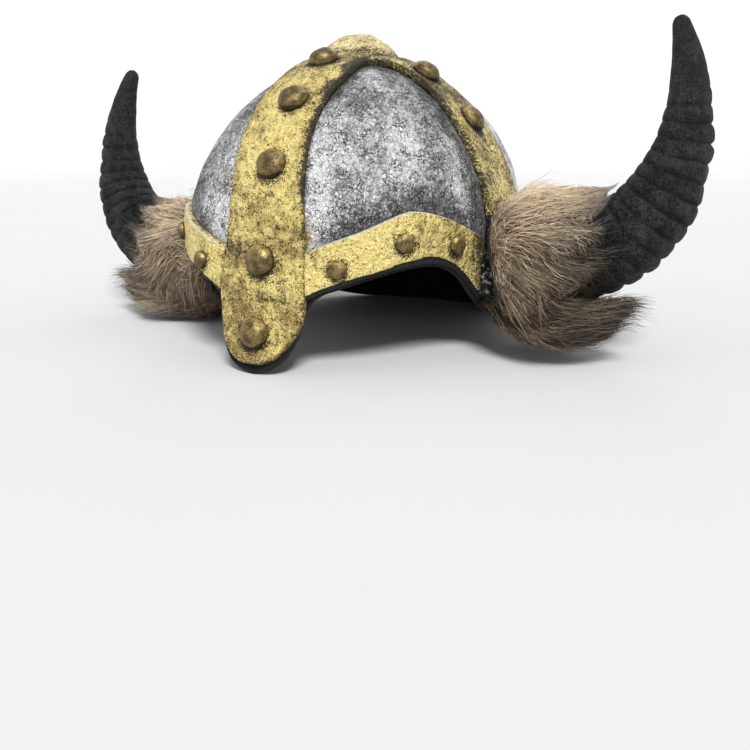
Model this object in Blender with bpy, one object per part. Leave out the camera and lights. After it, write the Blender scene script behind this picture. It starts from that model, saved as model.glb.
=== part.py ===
"""A horned viking helmet of moulded foam latex: a domed shell with raised bands and rivets,
two ringed horns, and a shaggy fur collar round the root of each horn.

Points are worked out in millimetres about the centre of the shell's widest level: -Y is the
wearer's front, +X the wearer's left and +Z up. to_world() then stands them on the floor, z = 0.
"""

import bmesh
import bpy
import numpy as np

HELMET = "viking_helmet"  # the empty that carries every piece
MM = 0.001
GAP = 0.35  # left between pieces that touch on the real helmet
SEAT = 0.5  # the same under a band, where flat facets meet a curve

# The shell
HALF_WIDTH = 97.5
FRONT_REACH = 119.9
BACK_REACH = 115.7
CROWN_RISE = 100.7
CROWN_SHIFT = -4.6  # of the crown's top towards the back; below 0, it lies in front of the middle
PLAN_POWER = 2.57  # 2 would be an ellipse, more is squarer
RISE_POWER = 1.67
RISE_POWER_BACK = 2.35
ROUND_POWER_SIDE = 1.86
ROUND_POWER_ENDS = 2.05
WALL = 4.0
RIM_CHAMFER = 1.4
DROP = 75.5  # from the widest level to the nose guard's tip and the nape
NOSE_FLARE = 16.5  # how far forward the nose guard's tip stands
FLARE_COSINES = (0.80, 0.97)  # the flare fades out between these cosines of the angle
AXIS_Y = 6.4  # moves the whole helmet so that its box is centred on the origin

# The bands
BAND = 3.0
THIN_BAND = 2.6
BAND_CHAMFER = 1.1
BACK_HALF_BAND = 24.0
CROSSING_HALF_BAND = 22.0
SIDE_HALF_BAND = 25.0

# The shell's lower edge: angle from the front in degrees, height
RIM = (
    (0, -75.5),
    (4, -73.2),
    (7.5, -68.3),
    (9.6, -62.4),
    (11, -56.0),
    (12, -49.0),
    (13, -41.0),
    (14.5, -35.8),
    (17, -31.4),
    (21, -28.2),
    (26, -24.7),
    (33, -20.8),
    (40, -17.9),
    (46, -17.2),
    (52, -19.2),
    (57, -23.6),
    (62, -31.0),
    (67, -39.6),
    (72, -46.6),
    (78, -51.2),
    (90, -52.5),
    (103, -52.8),
    (113, -55.0),
    (123, -59.8),
    (133, -66.0),
    (143, -71.6),
    (152, -74.8),
    (160, -75.5),
    (170, -75.5),
    (180, -75.5),
)

# The front band from the nose guard up: height, half-width to the wearer's right and left
FRONT_EDGES = (
    (-70.3, 3.5, 4.5),
    (-69.6, 8.5, 7.5),
    (-67.4, 13.3, 12.0),
    (-63.2, 18.4, 17.6),
    (-57.0, 22.2, 23.0),
    (-49.0, 24.6, 27.0),
    (-41.0, 26.2, 28.6),
    (-33.5, 27.9, 28.3),
    (-25.0, 27.4, 27.6),
    (-15.0, 25.4, 27.2),
    (-2.0, 23.4, 26.9),
    (10.0, 22.0, 26.0),
    (20.0, 22.4, 24.8),
    (39.0, 23.6, 22.0),
    (58.0, 24.4, 19.6),
    (68.0, 24.4, 19.4),
    (78.0, 23.8, 20.4),
    (88.0, 22.6, 21.8),
    (92.0, 22.0, 22.0),
    (102.5, 22.0, 22.0),
)

# A side band from the rim up to the crown: distance out from the middle, half-width
SIDE_EDGES = (
    (22.3, 38.0),
    (24.5, 31.0),
    (28.0, 24.8),
    (32.5, 20.2),
    (38.0, 17.6),
    (46.0, 17.0),
    (58.0, 19.0),
    (75.0, 22.0),
    (97.5, 25.0),
)

# A brow band: angle from the front, heights of its lower and upper edges
BROW = (
    (12.6, -34.0, -7.2),
    (16, -30.2, -4.4),
    (20, -27.2, -1.2),
    (25, -23.6, 2.3),
    (30, -20.6, 6.2),
    (35, -18.0, 10.3),
    (40, -16.2, 13.4),
    (45, -15.5, 12.7),
    (50, -16.7, 10.3),
    (55, -20.0, 6.9),
    (60, -26.2, 3.2),
    (65, -34.2, -0.6),
    (70, -42.0, -4.2),
    (74, -46.8, -7.0),
    (76, -48.2, -8.2),
)

# A rear band: angle from the front, heights of its lower and upper edges
REAR = (
    (104, -51.0, -10.5),
    (107, -51.4, -12.0),
    (115, -54.2, -16.0),
    (124, -58.8, -22.0),
    (133, -64.4, -28.5),
    (142, -69.6, -35.0),
    (151, -73.0, -40.0),
    (160, -74.2, -43.0),
    (168, -74.2, -44.0),
)

# Rivets: half-width of the round head, height of the dome
BIG_RIVET = (9.0, 7.5)
SIDE_RIVET = (8.8, 7.5)
SMALL_RIVET = (5.8, 4.6)
RIVET_SIDES = 10
SMALL_RIVET_SIDES = 8
FRONT_RIVETS = ((0.3, -54.0), (1.2, -13.0), (2.8, 36.9), (2.4, 70.3), (0.5, 92.9))  # x, height
SIDE_RIVETS = (86.4, 59.4)  # heights
BROW_RIVETS = ((21.3, -16.3), (38.3, -2.8), (55.4, -6.3))  # angle, height
BACK_RIVETS = (88.0, 62.0, 16.0, -40.0)  # heights
REAR_RIVETS = ((118, -36.5), (135, -47.5), (152, -57.0))  # angle, height
BOSS_RADIUS = 24.0
BOSS_HEIGHT = 10.6
BOSS_EDGE = 0.8
BOSS_POWER = 0.85  # 0.5 would be an ellipse, more is a slacker mound

# A horn: its root, and rows of share of the length, heading above level, radius
HORN_ROOT = (-15.3, -27.5)  # y, z
HORN_LENGTH = 211.0
HORN = (
    (0.0, -3.0, 25.0),
    (0.143, 3.5, 25.0),
    (0.286, 20.0, 24.7),
    (0.429, 46.0, 23.5),
    (0.571, 70.5, 19.5),
    (0.714, 87.0, 13.6),
    (0.857, 100.0, 9.2),
    (1.0, 113.0, 4.2),
)
HORN_YAW = (-3.0, 12.2)  # heading towards the back, at the root and the tip
HORN_LIFT = 7.5  # the wearer's left horn stands this much higher, and the right one lower
LIFT_OVER = 0.2  # the share of the length over which the lift builds up
HORN_RIDGES = 17
RIDGED_SHARE = 0.72  # of the horn's length, from the root
RIDGE_DEPTH = 0.9
HORN_SIDES = 12

# The fur: rows of share of a lock's length, then thickness on top, at the front, below, behind
FUR = (
    (0.0, 9.0, 8.0, 7.0, 8.0),
    (0.12, 11.0, 14.0, 12.0, 13.0),
    (0.35, 17.0, 18.0, 19.0, 17.0),
    (0.6, 13.0, 17.0, 20.0, 16.0),
    (0.82, 7.5, 12.0, 14.0, 11.0),
    (1.0, 1.4, 1.6, 1.6, 1.6),
)
LOCKS = 10
LOCK_COLUMNS = 4
LOCK_REACH = (0.45, 0.31, 0.21, 0.32)  # share of the horn under the fur: top, front, below, behind
LOCK_JAG = 0.055  # how far a lock's point runs past the notch beside it
LOCK_RIDGE = 2.2
FUR_GAP = 1.0  # between the fur's backing and the horn
BARE_ROOT = {1: 13.0, -1: 0.0}  # of the horn in front of the fur, on the wearer's left and right
INNER_FUR_RINGS = 7
TUFT_CLEARANCE = 3.0  # between a tuft and the horn

# The tufts that hang off the collar: x, y, z, half-width and half-height of each section
LOWER_TUFT = (
    (106, -20, -47, 20, 6),
    (122, -24, -54, 25, 11),
    (140, -27, -57, 27, 13.5),
    (157, -29, -56, 24, 14),
    (172, -30, -51, 17.5, 12),
    (184, -30, -44, 10, 7.5),
    (192, -29, -39, 4.5, 4),
    (197, -28, -36, 1.2, 1.2),
)
TUFT_SIDES = 14
TUFT_RIDGE = 0.07
HANG_FROM = -62.5  # the fur below this height is pressed up, so that it clears the floor
HANG_SHARE = 0.6


# --- the shell's surface -------------------------------------------------------------------


def read_table(rows, at, column=1):
    """A column of a table, read between its rows."""
    table = np.array(rows, float)
    return np.interp(at, table[:, 0], table[:, column])


def flare(angle, height):
    """How far the wall below the widest level stands forward, near the nose guard."""
    low, high = FLARE_COSINES
    share = np.clip((np.cos(angle) - low) / (high - low), 0, 1)
    share = share * share * (3 - 2 * share)
    return NOSE_FLARE * np.clip(-height / DROP, 0, None) ** 2 * share


def shell_level(points):
    """Below 0 inside the shell's outer surface and above 0 outside it."""
    x, y, z = points[..., 0], points[..., 1], points[..., 2]
    rise = np.clip(z / CROWN_RISE, 0, None)
    y = y - CROWN_SHIFT * rise**2
    angle = np.arctan2(x, -y)
    cosine = np.cos(angle)
    reach = np.where(cosine > 0, FRONT_REACH, BACK_REACH)
    plan = np.abs(np.sin(angle) / HALF_WIDTH) ** PLAN_POWER + np.abs(cosine / reach) ** PLAN_POWER
    out = np.clip((np.hypot(x, y) - flare(angle, z)) * plan ** (1 / PLAN_POWER), 0, None)
    behind = np.where(cosine < 0, cosine**2, 0)
    rise_power = RISE_POWER + (RISE_POWER_BACK - RISE_POWER) * behind
    round_power = ROUND_POWER_SIDE + (ROUND_POWER_ENDS - ROUND_POWER_SIDE) * cosine**2
    return out**round_power + rise**rise_power - 1


def normals(points, step=0.05):
    """The shell's outward direction at points on it."""
    slopes = [shell_level(points + d) - shell_level(points - d) for d in step * np.eye(3)]
    found = np.stack(slopes, -1)
    return found / np.linalg.norm(found, axis=-1, keepdims=True)


def cast(origins, directions, offset=0.0):
    """Where rays from inside the shell meet its outer surface, moved out by offset."""
    origins, directions = np.broadcast_arrays(np.array(origins, float), np.array(directions, float))
    low = np.zeros(origins.shape[:-1])
    high = np.full_like(low, 300.0)
    for _ in range(45):
        middle = (low + high) / 2
        inside = shell_level(origins + directions * middle[..., None]) < 0
        low = np.where(inside, middle, low)
        high = np.where(inside, high, middle)
    points = origins + directions * low[..., None]
    return points + normals(points) * np.array(offset)[..., None]


def stack(x, y, z):
    return np.stack(np.broadcast_arrays(x, y, z), -1).astype(float)


def at_angle(degrees, height, offset=0.0):
    """A point of the shell at an angle from the front and a height."""
    angle = np.radians(degrees)
    rise = np.clip(height / CROWN_RISE, 0, None)
    origins = stack(0.0, CROWN_SHIFT * rise**2, height)
    return cast(origins, stack(np.sin(angle), -np.cos(angle), 0.0), offset)


def on_front(x, height, offset=0.0, toward=-1.0):
    """A point of the shell's front, or with toward 1 its back, at x and a height."""
    return cast(stack(x, 0.0, height), stack(0.0, toward, 0.0), offset)


def over_crown(x, elevation, offset=0.0):
    """A point at x, seen from the middle at an elevation: 0 is the front, 180 the back."""
    angle = np.radians(elevation)
    return cast(stack(x, 0.0, 0.0), stack(0.0, -np.cos(angle), np.sin(angle)), offset)


def to_world(points):
    """From millimetres about the widest level to metres over the floor."""
    return (np.array(points, float) + (0, AXIS_Y, DROP)) * MM


def mirrored(points, side):
    return points * (side, 1, 1)


# --- meshes --------------------------------------------------------------------------------


def add_object(name, points, faces, material):
    """A named object with outward faces, its mesh in the world's metres."""
    mesh = bpy.data.meshes.new(name)
    mesh.from_pydata(to_world(points).tolist(), [], faces)
    bm = bmesh.new()
    bm.from_mesh(mesh)
    bmesh.ops.recalc_face_normals(bm, faces=bm.faces)
    bm.to_mesh(mesh)
    bm.free()
    mesh.materials.append(material)
    mesh.shade_smooth()
    mesh.set_sharp_from_angle(angle=np.radians(40))
    made = bpy.data.objects.new(name, mesh)
    made.parent = bpy.data.objects[HELMET]
    bpy.context.scene.collection.objects.link(made)
    return made


def grid_faces(rows, columns, start=0, wrap=False):
    """Quads over a grid of points stored row by row."""
    last = columns if wrap else columns - 1
    return [
        (
            start + r * columns + c,
            start + r * columns + (c + 1) % columns,
            start + (r + 1) * columns + (c + 1) % columns,
            start + (r + 1) * columns + c,
        )
        for r in range(rows - 1)
        for c in range(last)
    ]


def slab(name, outer, inner, material):
    """A closed plate between two grids of points of the same size."""
    rows, columns = outer.shape[:2]
    size = rows * columns
    points = np.concatenate([outer.reshape(-1, 3), inner.reshape(-1, 3)])
    faces = grid_faces(rows, columns) + grid_faces(rows, columns, size)
    edge = [(0, c) for c in range(columns)]
    edge += [(r, columns - 1) for r in range(1, rows)]
    edge += [(rows - 1, c) for c in range(columns - 2, -1, -1)]
    edge += [(r, 0) for r in range(rows - 2, 0, -1)]
    ring = [r * columns + c for r, c in edge]
    for a, b in zip(ring, ring[1:] + ring[:1]):
        faces.append((a, b, b + size, a + size))
    return add_object(name, points, faces, material)


def closed_loft(name, rings, first, last, material):
    """A closed skin through rings of equal size, with a point to close each end."""
    count, sides = rings.shape[:2]
    points = np.concatenate([rings.reshape(-1, 3), [first, last]])
    faces = grid_faces(count, sides, wrap=True)
    for c in range(sides):
        after = (c + 1) % sides
        faces.append((after, c, count * sides))
        faces.append(((count - 1) * sides + c, (count - 1) * sides + after, count * sides + 1))
    return add_object(name, points, faces, material)


# --- shell ---------------------------------------------------------------------------------


def make_shell(material):
    """The hollow dome. Its lower edge is the rim, with a flat strip between two chamfers."""
    half = [row[0] for row in RIM]
    degrees = np.array(half + [360 - a for a in half[-2:0:-1]], float)
    rim = read_table(RIM, np.where(degrees > 180, 360 - degrees, degrees))

    def level_row(height, offset):
        row = at_angle(degrees, height, offset)
        row[:, 2] = height
        return row

    def wall_rows(offset, shares, climb):
        heights = [np.full_like(rim, CROWN_RISE * np.sin(np.radians(a))) for a in climb]
        below = [level_row((rim + RIM_CHAMFER) * share, offset) for share in shares]
        return below + [at_angle(degrees, height, offset) for height in heights]

    rows = wall_rows(0.0, (1, 0.82, 0.63, 0.42, 0.2), (0, 12, 24, 37, 50, 64, 78))[::-1]
    rows += [level_row(rim, -RIM_CHAMFER), level_row(rim, RIM_CHAMFER - WALL)]
    rows += wall_rows(-WALL, (1, 0.75, 0.4), (0, 22, 42, 60, 78))
    rings = np.array(rows)
    top = cast(stack(0.0, CROWN_SHIFT, 0.0), stack(0.0, 0.0, 1.0))
    return closed_loft("shell", rings, top, top - (0, 0, WALL), material)


# --- bands ---------------------------------------------------------------------------------

ACROSS = np.linspace(-1, 1, 6)


def band_grids(place, stations, right, left, thick):
    """A band's outer and inner grids: place(x, station, offset) gives its points."""
    grids = []
    for offset, trim in ((SEAT + thick, BAND_CHAMFER), (SEAT, 0.0)):
        rows = []
        for station, low, high in zip(stations, right, left):
            x = np.where(ACROSS < 0, ACROSS * (low - trim), ACROSS * (high - trim))
            rows.append(place(x, station, offset))
        grids.append(np.array(rows))
    return grids


def make_front_band(material):
    """The nose guard and the band from it up to the crown, as one strip."""
    below = [row[0] for row in FRONT_EDGES if row[0] < 0]
    above = (2, 9, 17, 25, 33, 41, 49, 57, 65, 73, 81, 89.9)
    stations = [("low", z) for z in below] + [("up", e) for e in above]

    def place(x, station, offset):
        kind, value = station
        return on_front(x, value, offset) if kind == "low" else over_crown(x, value, offset)

    heights = np.array([place(0.0, s, 0.0)[2] for s in stations])
    right = read_table(FRONT_EDGES, heights, 1)
    left = read_table(FRONT_EDGES, heights, 2)
    return slab("front_band", *band_grids(place, stations, right, left, BAND), material)


def make_back_band(material):
    """The plain band from the crown down to the nape."""
    above = (90.1, 99, 107, 115, 123, 131, 139, 147, 155, 163, 171, 178)
    below = (-20.0, -45.0, -(DROP - 1.3))
    stations = [("up", e) for e in above] + [("low", z) for z in below]

    def place(x, station, offset):
        kind, value = station
        if kind == "low":
            return on_front(x, value, offset, toward=1.0)
        return over_crown(x, value, offset)

    heights = np.array([place(0.0, s, 0.0)[2] for s in stations])
    half = np.interp(heights, (0, 60), (BACK_HALF_BAND, CROSSING_HALF_BAND))
    return slab("back_band", *band_grids(place, stations, half, half, BAND), material)


def make_side_band(name, side, material):
    """The band from the ear up to the edge of the front and back bands."""
    crossing = CROSSING_HALF_BAND + GAP
    rim = -51.0
    stations = [("low", rim), ("low", -25.0)]
    stations += [("up", e) for e in (1, 9, 17, 25, 33, 41, 49, 56, 62)]
    stations += [("plan", x) for x in (38.0, 32.5, 28.0, 24.7, crossing)]

    def place(y, station, offset):
        kind, value = station
        if kind == "low":
            return cast(stack(0.0, y, value), stack(1.0, 0.0, 0.0), offset)
        if kind == "up":
            angle = np.radians(value)
            return cast(stack(0.0, y, 0.0), stack(np.cos(angle), 0.0, np.sin(angle)), offset)
        found = cast(stack(value, y, 0.0), stack(0.0, 0.0, 1.0), offset)
        found[..., 0] = np.maximum(found[..., 0], value) if value > crossing else value
        return found

    reach = np.array([place(0.0, s, 0.0)[0] for s in stations])
    half = read_table(SIDE_EDGES, reach)
    grids = band_grids(place, stations, half, half, BAND)
    return slab(name, *[mirrored(grid, side) for grid in grids], material)


def edge_angles(points):
    return np.degrees(np.arctan2(points[..., 0], -points[..., 1]))


def make_rim_band(name, side, table, first_edge, last_edge, material):
    """A band along the rim. first_edge and last_edge give points at a height on the bands that
    it runs between, and its own ends keep GAP from them."""
    share = np.linspace(0, 1, 5)
    angles = [row[0] for row in table]
    grids = []
    for offset, trim in ((SEAT + THIN_BAND, BAND_CHAMFER), (SEAT, 0.0)):
        columns = []
        for i, angle in enumerate(angles):
            low = read_table(table, angle, 1) + trim
            high = read_table(table, angle, 2) - trim
            heights = low + (high - low) * share
            if i == 0:
                degrees = edge_angles(first_edge(heights)) + np.degrees(trim / HALF_WIDTH)
            elif i == len(angles) - 1:
                degrees = edge_angles(last_edge(heights)) - np.degrees(trim / HALF_WIDTH)
            else:
                degrees = np.full_like(heights, angle)
            columns.append(at_angle(degrees, heights, offset))
        grids.append(mirrored(np.array(columns), side))
    return slab(name, *grids, material)


def make_brow_band(name, side, material):
    def front_edge(heights):
        half = read_table(FRONT_EDGES, heights, 2 if side > 0 else 1)
        return on_front(half + GAP, heights)

    def side_edge(heights):
        return cast(stack(0.0, -SIDE_HALF_BAND - GAP, heights), stack(1.0, 0.0, 0.0))

    return make_rim_band(name, side, BROW, front_edge, side_edge, material)


def make_rear_band(name, side, material):
    def side_edge(heights):
        return cast(stack(0.0, SIDE_HALF_BAND + GAP, heights), stack(1.0, 0.0, 0.0))

    def back_edge(heights):
        return on_front(BACK_HALF_BAND + GAP, heights, toward=1.0)

    return make_rim_band(name, side, REAR, side_edge, back_edge, material)


# --- boss and rivets -----------------------------------------------------------------------


def make_boss(material):
    """The low round boss over the crossing of the bands. Its underside follows the bands."""
    sides = 24
    turn = np.linspace(0, 2 * np.pi, sides, endpoint=False)
    foot = BAND + SEAT + GAP

    def ring(radius, offset):
        x = radius * np.cos(turn)
        y = CROWN_SHIFT + radius * np.sin(turn)
        return cast(stack(x, y, 0.0), stack(0.0, 0.0, 1.0), offset)

    shares = np.array((0.28, 0.52, 0.74, 0.9))
    heights = BOSS_EDGE + (BOSS_HEIGHT - BOSS_EDGE) * (1 - shares**2) ** BOSS_POWER
    rings = [ring(BOSS_RADIUS * share, foot + up) for share, up in zip(shares, heights)]
    rings += [ring(BOSS_RADIUS, foot + BOSS_EDGE)]
    rings += [ring(BOSS_RADIUS, foot), ring(BOSS_RADIUS * 0.5, foot)]
    middle = cast(stack(0.0, CROWN_SHIFT, 0.0), stack(0.0, 0.0, 1.0))
    top = middle + (0, 0, foot + BOSS_HEIGHT)
    return closed_loft("crown_boss", np.array(rings), top, middle + (0, 0, foot), material)


def make_rivet(name, seat, band, size, material):
    """A domed rivet head. seat is a point on the shell, and band the band's thickness there."""
    radius, height = size
    out = normals(seat)
    across = np.cross(out, (0, 0, 1.0) if abs(out[2]) < 0.9 else (0, 1.0, 0))
    across /= np.linalg.norm(across)
    along = np.cross(out, across)
    sides = SMALL_RIVET_SIDES if size == SMALL_RIVET else RIVET_SIDES
    turn = np.linspace(0, 2 * np.pi, sides, endpoint=False)
    circle = np.outer(np.cos(turn), across) + np.outer(np.sin(turn), along)
    base = seat + out * (band + SEAT + GAP)
    profile = ((0.45, 0.93), (0.8, 0.68), (1.0, 0.25), (1.0, 0.0))
    rings = [base + circle * radius * r + out * height * h for r, h in profile]
    return closed_loft(name, np.array(rings), base + out * height, base, material)


def make_rivets(material):
    for i, (x, height) in enumerate(FRONT_RIVETS, 1):
        if height < 0:
            seat = on_front(x, height)
        else:
            seat = at_angle(np.degrees(np.arcsin(x / 100)), height)
        make_rivet(f"front_rivet_{i}", seat, BAND, BIG_RIVET, material)
    for i, height in enumerate(BACK_RIVETS, 1):
        make_rivet(f"back_rivet_{i}", at_angle(180.0, height), BAND, BIG_RIVET, material)
    for word, side in (("left", 1), ("right", -1)):
        for i, height in enumerate(SIDE_RIVETS, 1):
            seat = at_angle(90.0 * side, height)
            make_rivet(f"side_rivet_{word}_{i}", seat, BAND, SIDE_RIVET, material)
        for kind, places in (("brow", BROW_RIVETS), ("rear", REAR_RIVETS)):
            for i, (angle, height) in enumerate(places, 1):
                seat = at_angle(angle * side, height)
                make_rivet(f"{kind}_rivet_{word}_{i}", seat, THIN_BAND, SMALL_RIVET, material)


# --- horns ---------------------------------------------------------------------------------


def root_reach(y, z):
    """How far out a piece that sits on the side of the helmet starts, at y and z."""
    return cast(stack(0.0, y, z), stack(1.0, 0.0, 0.0))[..., 0] + BAND + SEAT + 2 * GAP


def horn_line(share, lift):
    """Centre points, directions and radii of the wearer's left horn at shares of its length."""
    fine = np.linspace(0, 1, 201)
    heading = np.radians(read_table(HORN, fine, 1))
    yaw = np.radians(np.interp(fine, (0, 1), HORN_YAW))
    way = np.stack([np.cos(heading) * np.cos(yaw), np.sin(yaw), np.sin(heading) * np.cos(yaw)], -1)
    steps = (way[1:] + way[:-1]) / 2 * HORN_LENGTH / (len(fine) - 1)
    line = np.concatenate([np.zeros((1, 3)), np.cumsum(steps, axis=0)])
    line += (HALF_WIDTH, *HORN_ROOT)
    eased = np.clip(fine / LIFT_OVER, 0, 1)
    line[:, 2] += lift * eased * eased * (3 - 2 * eased)
    way = np.gradient(line, axis=0)
    way /= np.linalg.norm(way, axis=1, keepdims=True)
    centre = np.stack([np.interp(share, fine, line[:, k]) for k in range(3)], -1)
    along = np.stack([np.interp(share, fine, way[:, k]) for k in range(3)], -1)
    along /= np.linalg.norm(along, axis=-1, keepdims=True)
    return centre, along, read_table(HORN, share, 2)


def horn_ring(centre, along, radius, turn):
    """Points round the horn. turn is 0 on top and grows towards the front."""
    front = along * along[1] - (0, 1.0, 0)
    front /= np.linalg.norm(front)
    up = np.cross(front, along)
    ring = np.cos(turn)[:, None] * up + np.sin(turn)[:, None] * front
    return centre + ring * np.broadcast_to(radius, turn.shape)[:, None]


def make_horn(name, side, material):
    """The curved horn with stepped rings over its lower part."""
    turn = np.linspace(0, 2 * np.pi, HORN_SIDES, endpoint=False)
    pitch = RIDGED_SHARE / HORN_RIDGES
    shares = [0.0, pitch * 0.5]
    swell = [0.0, 0.0]
    for i in range(1, HORN_RIDGES):
        shares += [i * pitch - pitch * 0.12, i * pitch + pitch * 0.12]
        swell += [RIDGE_DEPTH, -RIDGE_DEPTH * 0.4]
    shares += [0.76, 0.82, 0.88, 0.94, 0.975, 0.995]
    swell += [0.0] * 4 + [-0.6, -2.2]
    centre, along, radius = horn_line(np.array(shares), HORN_LIFT * side)
    rings = [horn_ring(c, a, r, turn) for c, a, r in zip(centre, along, radius + np.array(swell))]
    foot = centre[0].copy()
    rings.insert(0, foot + (rings[0] - foot) * 0.5)
    for ring in rings[:2]:
        ring[:, 0] = root_reach(ring[:, 1], ring[:, 2])
    for ring in rings[2:5]:
        ring[:, 0] = np.maximum(ring[:, 0], root_reach(ring[:, 1], ring[:, 2]) + 0.5)
    foot[0] = root_reach(foot[1], foot[2])
    tip = horn_line(np.array([1.0]), HORN_LIFT * side)[0][0]
    rings = mirrored(np.array(rings), side)
    ends = mirrored(np.array([foot, tip]), side)
    return closed_loft(name, rings, ends[0], ends[1], material)


# --- fur -----------------------------------------------------------------------------------


def round_mix(turn, top, front, below, behind):
    """Blends four values round the horn."""
    waves = np.array((np.cos(turn), np.sin(turn), -np.cos(turn), -np.sin(turn)))
    return (top, front, below, behind) @ np.clip(waves, 0, 1) ** 2


def lock_wave(turn):
    """1 along the middle of each lock and 0 in the notch between two."""
    return np.abs(np.cos(turn * LOCKS / 2))


def keep_off_floor(points):
    """Presses up what hangs low."""
    low = np.minimum(points[..., 2] - HANG_FROM, 0)
    points[..., 2] -= low * (1 - HANG_SHARE)
    return points


def make_sleeve(side):
    """The collar's body: locks that lie along the horn from its root."""
    columns = LOCKS * LOCK_COLUMNS
    turn = np.linspace(0, 2 * np.pi, columns, endpoint=False)
    wave = lock_wave(turn)
    start = BARE_ROOT[side] / HORN_LENGTH * np.clip(np.sin(turn), 0, 1)
    length = round_mix(turn, *LOCK_REACH) + LOCK_JAG * (wave - 0.5) - start
    rings = []
    for row in reversed(FUR):
        thick = round_mix(turn, *row[1:]) + LOCK_RIDGE * (wave - 0.6) * (0.25 < row[0] < 0.95)
        rings.append(fur_ring(turn, start + length * row[0], thick, side))
    for share in np.linspace(0, 1, INNER_FUR_RINGS):
        rings.append(fur_ring(turn, start + length * share, FUR_GAP, side))
    return rings


def fur_ring(turn, share, thick, side):
    centre, along, radius = horn_line(share, HORN_LIFT * side)
    out = radius + RIDGE_DEPTH + thick
    found = np.array([horn_ring(c, a, r, t[None])[0] for c, a, r, t in zip(centre, along, out, turn)])
    root = np.clip(1 - share / 0.04, 0, 1)
    reach = root_reach(found[:, 1], found[:, 2])
    found[:, 0] = np.where(root > 0, np.maximum(found[:, 0], reach), np.maximum(found[:, 0], reach + 0.2))
    return found


def closed_tube(name, rings, material):
    """A closed ring-shaped skin: the last ring joins the first."""
    count, sides = rings.shape[:2]
    faces = grid_faces(count, sides, wrap=True)
    for c in range(sides):
        after = (c + 1) % sides
        faces.append(((count - 1) * sides + c, (count - 1) * sides + after, after, c))
    return add_object(name, rings.reshape(-1, 3), faces, material)


def make_tuft(name, sections, side, material):
    """A ridged tuft of locks that narrows to a point."""
    turn = np.linspace(0, 2 * np.pi, TUFT_SIDES, endpoint=False)
    ridge = 1 + TUFT_RIDGE * np.cos(turn * TUFT_SIDES / 2)
    rings = []
    for x, y, z, half_width, half_height in sections:
        wide = y + np.sin(turn) * half_width * ridge
        high = z + np.cos(turn) * half_height * ridge + HORN_LIFT * side * 0.5
        rings.append(stack(float(x), wide, high))
    rings = keep_off_floor(mirrored(np.array(rings), side))
    return closed_loft(name, rings, rings[0].mean(axis=0), rings[-1].mean(axis=0), material)


def make_helper(made):
    made.hide_render = True
    made.display_type = "WIRE"
    return made


def add_boolean(made, operation, other):
    cut = made.modifiers.new(other.name, "BOOLEAN")
    cut.operation = operation
    cut.solver = "EXACT"
    cut.object = other


def make_horn_cutter(name, side, material):
    """A fatter horn, which cuts a tuft clear of the real one."""
    turn = np.linspace(0, 2 * np.pi, 20, endpoint=False)
    centre, along, radius = horn_line(np.linspace(0.02, 0.8, 24), HORN_LIFT * side)
    rings = [horn_ring(c, a, r + TUFT_CLEARANCE, turn) for c, a, r in zip(centre, along, radius)]
    ends = mirrored(np.array([centre[0], centre[-1]]), side)
    return closed_loft(name, mirrored(np.array(rings), side), ends[0], ends[1], material)


def make_fur_collar(name, side, material):
    """The sleeve with the lower tuft fused to it."""
    sleeve = keep_off_floor(mirrored(np.array(make_sleeve(side)), side))
    collar = closed_tube(name, sleeve, material)
    tuft = make_helper(make_tuft(name + "_tuft", LOWER_TUFT, side, material))
    cutter = make_helper(make_horn_cutter(name + "_cutter", side, material))
    add_boolean(tuft, "DIFFERENCE", cutter)
    add_boolean(collar, "UNION", tuft)
    return collar


# --- materials and assembly ----------------------------------------------------------------


def make_material(name, colour, roughness, metallic):
    material = bpy.data.materials.new(name)
    material.use_nodes = True
    shader = material.node_tree.nodes["Principled BSDF"]
    shader.inputs["Base Color"].default_value = (*colour, 1)
    shader.inputs["Roughness"].default_value = roughness
    shader.inputs["Metallic"].default_value = metallic
    return material


def main():
    for old in list(bpy.data.objects):
        bpy.data.objects.remove(old)
    bpy.context.scene.collection.objects.link(bpy.data.objects.new(HELMET, None))
    silver = make_material("silver_paint", (0.36, 0.37, 0.38), 0.45, 0.6)
    gold = make_material("gold_paint", (0.55, 0.40, 0.12), 0.42, 0.6)
    bronze = make_material("dark_gold_paint", (0.30, 0.21, 0.07), 0.45, 0.6)
    black = make_material("black_latex", (0.02, 0.022, 0.023), 0.7, 0.0)
    fur = make_material("brown_fur", (0.23, 0.16, 0.11), 0.9, 0.0)
    make_shell(silver)
    make_front_band(gold)
    make_back_band(gold)
    make_boss(gold)
    make_rivets(bronze)
    for word, side in (("left", 1), ("right", -1)):
        make_side_band(f"side_band_{word}", side, gold)
        make_brow_band(f"brow_band_{word}", side, gold)
        make_rear_band(f"rear_band_{word}", side, gold)
        make_horn(f"horn_{word}", side, black)
        make_fur_collar(f"fur_collar_{word}", side, fur)


main()
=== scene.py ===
"""Looks for the horned viking helmet: fine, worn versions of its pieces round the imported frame.

Points are worked out in millimetres about the centre of the shell's widest level: -Y is the
wearer's front, +X the wearer's left and +Z up. to_world() stands them on the floor in metres.
"""

import itertools

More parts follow.
